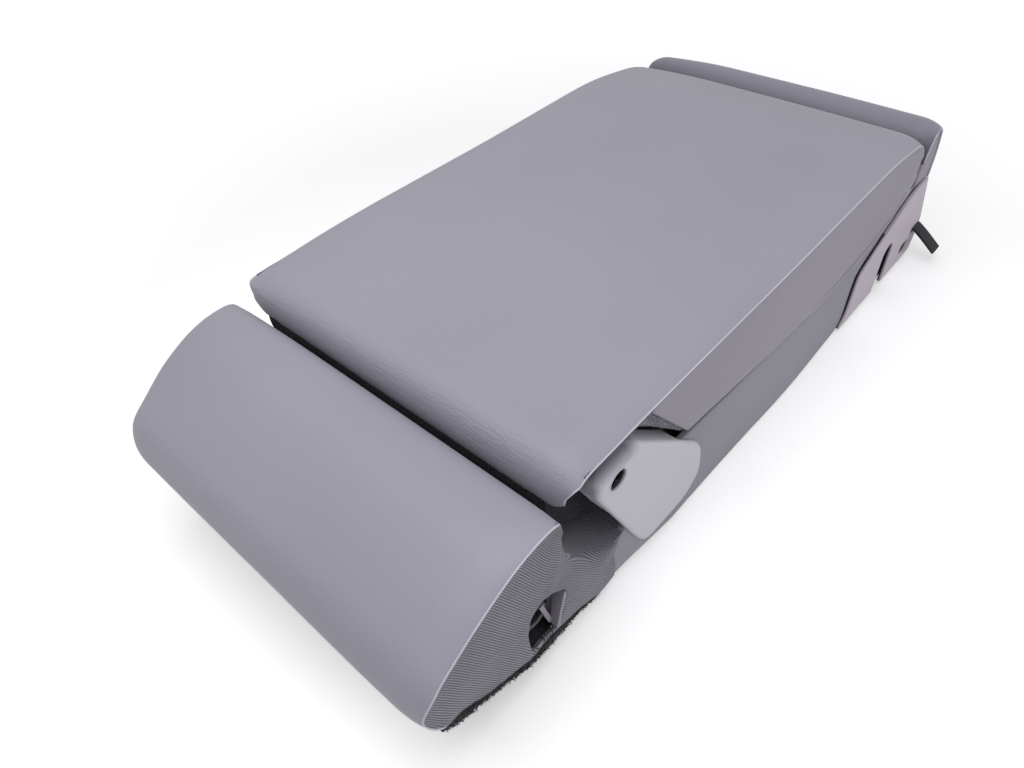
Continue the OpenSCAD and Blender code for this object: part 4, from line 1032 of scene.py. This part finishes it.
# Lining of the valley behind the roll
vpath = resample(valley_curve, 2.5)
vn = left_of(tangents(vpath))
varc = lengths(vpath)
narrow = 1 - (valley_round(vpath[:, 0]) - 1.2) / valley_hw
rows, uvs = [], []
for x in np.concatenate([
        np.linspace(-valley_hw, -108, 8), np.linspace(-104, 104, 53), np.linspace(108, valley_hw, 8)]):
    inward = np.array([0.45 * noise.noise(Vector((x * 0.05, a * 0.06, 2))) for a in varc])
    rows.append(at_x(x * narrow, vpath + vn * inward[:, None]))
    uvs.append(np.column_stack([0.7 * abs(x) - 0.7 * varc, 0.7 * abs(x) + 0.7 * varc]))
valley = sheet_strip("valley_lining", rows, upright(-vn), 1.5, "ribbed_cloth", uvs)
dress(valley, "root", ("valley_cloth",))

# Side covers, and a dark rubber cord laid in the gap along the end cap as painted shade
cap_line = np.array([
    (strip_far_y - 116, 0.8), (strip_far_y - 107.5, 7), (strip_far_y - 106.4, 14), (strip_far_y - 105.6, 30),
    (strip_far_y - 104.5, cap_top_h - 38), (strip_far_y - 96, cap_top_h - 31.6),
    (strip_far_y - 70, cap_top_h - 19.4), (strip_far_y - 48, cap_top_h - 10.8),
    (strip_far_y - 26, cap_top_h - 2.5), (strip_far_y - 8, cap_top_h - 0.2)])
cover_outline = np.vstack([
    [(tuck_y - 2, 0.8), (tuck_y + 2, 14), (tuck_y - 2, 38), (tuck_y + 6, pivot_h - 60)], base_top[:-2],
    [(strip_y - 1, cap_top_h + 2), (strip_far_y - 8, cap_top_h + 2)], cap_line[::-1]])
gap_line = resample(np.vstack([cap_line[1:], [[strip_far_y - 2, cap_top_h + 1.2]]]), 3)


def cover_height(p, d, dh):
    belly = 0.9 * (1 - np.exp(-d / 12))
    bulge = 2.4 * np.exp(-((p[:, 0] - 65) / 65) ** 2) * np.exp(-p[:, 1] / 18)
    return cover_out + belly + bulge - tucked(p) - rim_drop(d, 1) + 0.22 * waves(p, 0.022, 21)


for side, tag in SIDES:
    cover = panel(f"side_skin_{tag}", cover_outline, side, cover_height, 2.4, "cover_cloth", 6,
                  (0.4, 1, 1.9, 4))
    dress(cover, "root", (f"side_cover_{tag}",))
    # Painted shade: a dark rubber cord stands for the shadow in the gap between the side cover and the end
    # cap.
    gap_shade_line = at_x(side * 120.6, gap_line + (0, 0.4))
    dress(tube(f"side_gap_shade_{tag}", gap_shade_line, 1.5, "rubber"), "root")

# Ends of the top cushion
end_outline = np.vstack([moved(resample(top_seam_curve, 1.6), -0.8),
                         [[strip_far_y - 3, cap_top_h + 2.6], [strip_y + 3, cap_top_h + 2.6]]])


def end_height(p, d, dh):
    return hw_at(p[:, 0], arm_hw, *top_plan) - 0.9 + 0.7 * (1 - np.exp(-d / 6)) - rim_drop(d, 1.2)


for side, tag in SIDES:
    end = panel(f"top_end_{tag}", end_outline, side, end_height, 2.6, "side_vinyl", 3, (0.4, 1, 1.8),
                reform=strip_form)
    dress(end, "root", (f"top_side_{tag}",))


# Covers over the pivots, with their hole
def ear_height(p, d, dh):
    lean = clamp((p[:, 1] - (pivot_h + 7.5)) / 5.5)
    leaning = 6.5 * lean ** 1.4 * clamp((pivot_y + 19 - p[:, 0]) / 10)
    return ear_out - rim_drop(d, 2.6) - leaning - rim_drop(dh, 0.8)


def ear_back(p, d, dh, low_h=87.5, rim=1.9):
    """A plate with a deep rim, whose lowest part stays clear of the armrest's lower edge."""
    deep = ear_rim_out + clamp((low_h - p[:, 1]) / 1) * (123.35 - ear_rim_out)
    plate = np.minimum(ear_plate_out, ear_height(p, d + 3, dh + 5) - 2.2)
    w = clamp((d - rim) / 0.5)
    return np.minimum(deep * (1 - w) + plate * w, ear_height(p, d, dh) - 0.3)


hole_at = (pivot_y - 0.5, pivot_h + 0.8)
for side, tag in SIDES:
    ear = panel(f"ear_shell_{tag}", ear_outline, side, ear_height, 2.2, "ear_plastic", 4,
                (0.25, 0.7, 1.3, 1.9, 2.45, 3.4), holes=(arc(*hole_at, 6, 0, 352.5, 47),), back=ear_back,
                edge_step=1.5)
    dress(ear, "root", (f"ear_cover_{tag}",))
    # A thin ring round the hole in the welt's pale leather, painted highlight included.
    ring = at_x(side * 125.9, arc(*hole_at, 6.5, 0, 360, 48))
    dress(tube(f"ear_ring_{tag}", ring, 0.5, "welt", taper=False), "root")
    # Painted shade: a dark rubber ring lines the hole's inner wall, standing for the shade inside the hole.
    socket = at_x(side * 124.5, arc(*hole_at, 5.7, 0, 360, 48))
    dress(tube(f"ear_hole_shade_{tag}", socket, 0.95, "rubber", taper=False), "root")

# Felt on the back and its fuzzy lip
cpath = resample(hung_curve, 5)
felt_hw = np.where(cpath[:, 0] < slope_y - 40, 120.5, 116 + 3.5 * clamp((cpath[:, 0] + 140) / 60))
rows = [at_x(share * felt_hw, cpath) for share in np.linspace(-1, 1, 49)]
felt_back = sheet_strip("felt_back", rows, upright(left_of(tangents(cpath))), 3, "carpet_felt")
dress(felt_back, "root", ("carpet",))


def felt_lip(tag, side, sides=12, hairs=3600):
    """Soft, uneven edge of the felt where it turns up beside the roll's cloth."""
    rng = random.Random(5 + side)
    p = resample(moved(hung_curve, 0.4), 1.6)
    p = p[p[:, 0] < slope_y + 8]
    n = len(p)
    t3 = tangents(p)
    verts = []
    for i, (y, z) in enumerate(p):
        slow, quick = noise.noise(Vector((y * 0.06, 3, side))), noise.noise(Vector((y * 0.3, 8, side)))
        fat = (1.7 + 0.5 * slow + 0.3 * quick) * (0.5 + 0.5 * min(1, (1 - i / (n - 1)) * 5))
        fat += 2.6 * math.exp(-((y + 274) / 8) ** 2) + 2.4 * math.exp(-((y + 196) / 13) ** 2)
        xc = 123.8 - float(tucked(np.array([[y, z]]))[0]) - 1.4 * math.exp(-((y + 277) / 6) ** 2)
        if side < 0:
            xc -= worn_nose(y)
        for k in range(sides):
            w = 2 * math.pi * k / sides
            r = 1 + 0.22 * noise.noise(Vector((y * 0.5, k * 1.7, 1)))
            dx = min(1.6, 0.6 * fat) * math.cos(w) * r
            dn = fat * math.sin(w) * r
            verts.append((side * (xc + dx), y - t3[i, 1] * dn, max(z + t3[i, 0] * dn, 0.15)))
    faces = tube_faces(n, sides)
    faces += [tuple(range(sides)), tuple((n - 1) * sides + k for k in range(sides))]
    for _ in range(hairs):
        i = rng.randrange(1, n - 2)
        k = rng.randrange(sides)
        a = np.array(verts[i * sides + k])
        mid = np.array([side * abs(verts[i * sides + sides // 4][0]), p[i, 0], p[i, 1]])
        d = unit(a - mid + np.array([rng.gauss(0, 0.8), rng.gauss(0, 1.4), rng.gauss(0, 1)]))
        if a[2] + d[2] * 2 < 0.2:
            continue
        length = rng.uniform(0.6, 1.7)
        s = unit(np.cross(d, [rng.gauss(0, 1), rng.gauss(0, 1), rng.gauss(0, 1)])) * 0.09
        curl = np.array([rng.gauss(0, 0.5), rng.gauss(0, 0.7), rng.gauss(0, 0.4)])
        b = len(verts)
        tip = a + d * length + curl
        verts += [tuple(v) for v in (a - s, a + s, a + d * length * 0.6 + s * 0.7, tip)]
        faces += [(b, b + 1, b + 2), (b, b + 2, b + 3)]
    return mesh_object(f"felt_lip_{tag}", verts, faces, "carpet_felt")


for side, tag in SIDES:
    dress(felt_lip(tag, side), "root")

# Strap, as points [x, z]
strap_line = smooth(resample([
    (arm_hw - 10, 34), (arm_hw - 3, 32.2), (arm_hw + 2.5, 29.9), (arm_hw + 9, 25.4), (arm_hw + 16, 20),
    (arm_hw + 22.5, 14.8)], 1.5), 3)
strap_n = left_of(tangents(strap_line))
arcs = lengths(strap_line)
rows, uvs = [], []
for j, y in enumerate(np.linspace(strap_y - strap_hw, strap_y + strap_hw, 13)):
    rim = 0.35 * (abs(j - 6) / 6) ** 6
    rows.append([(x, y, z) for x, z in strap_line + strap_n * (0.8 - rim)])
    uvs.append([(y, a) for a in arcs])
strap_in = np.array([(-a, 0, -b) for a, b in strap_n])[None]
dress(sheet_strip("strap_web", rows, strap_in, 1.5, "webbing", uvs), "root", ("pull_strap",))


# Finishes of the solids that stay
def pair(name):
    return [f"{name}_left", f"{name}_right"]


FINISH = {
    "zinc_steel": pair("pivot_bracket") + pair("pivot_arm") + ["latch_plate", "latch_hook"],
    "dark_steel": pair("pivot_pin") + ["latch_pin", "arm_screws"],
    # The hinge brackets take dark painted steel instead of zinc, darkened as painted shade for the dark
    # interior round them.
    "painted_steel": pair("hinge_bracket") + [
        "frame_tube", "back_pan", "cross_rail_lower", "cross_rail_upper"],
    "spring_steel": ["latch_spring"],
    "bush_plastic": pair("pivot_bush"),
    "core_plastic": ["arm_core"],
    "cap_plastic": ["end_cap"],
    "board_cloth": ["recess_board", "arm_underside"],
    "rubber": ["rest_buffers"],
    # The section foam takes the darkened foam, painted shade.
    "foam": ["section_foam"],
}
for look, names in FINISH.items():
    for nm in names:
        ob = nodes[nm]
        if not ob.material_slots:
            ob.data.materials.append(M[look])
        for sl in ob.material_slots:
            sl.material = M[look]

scene.view_settings.view_transform = "Standard"
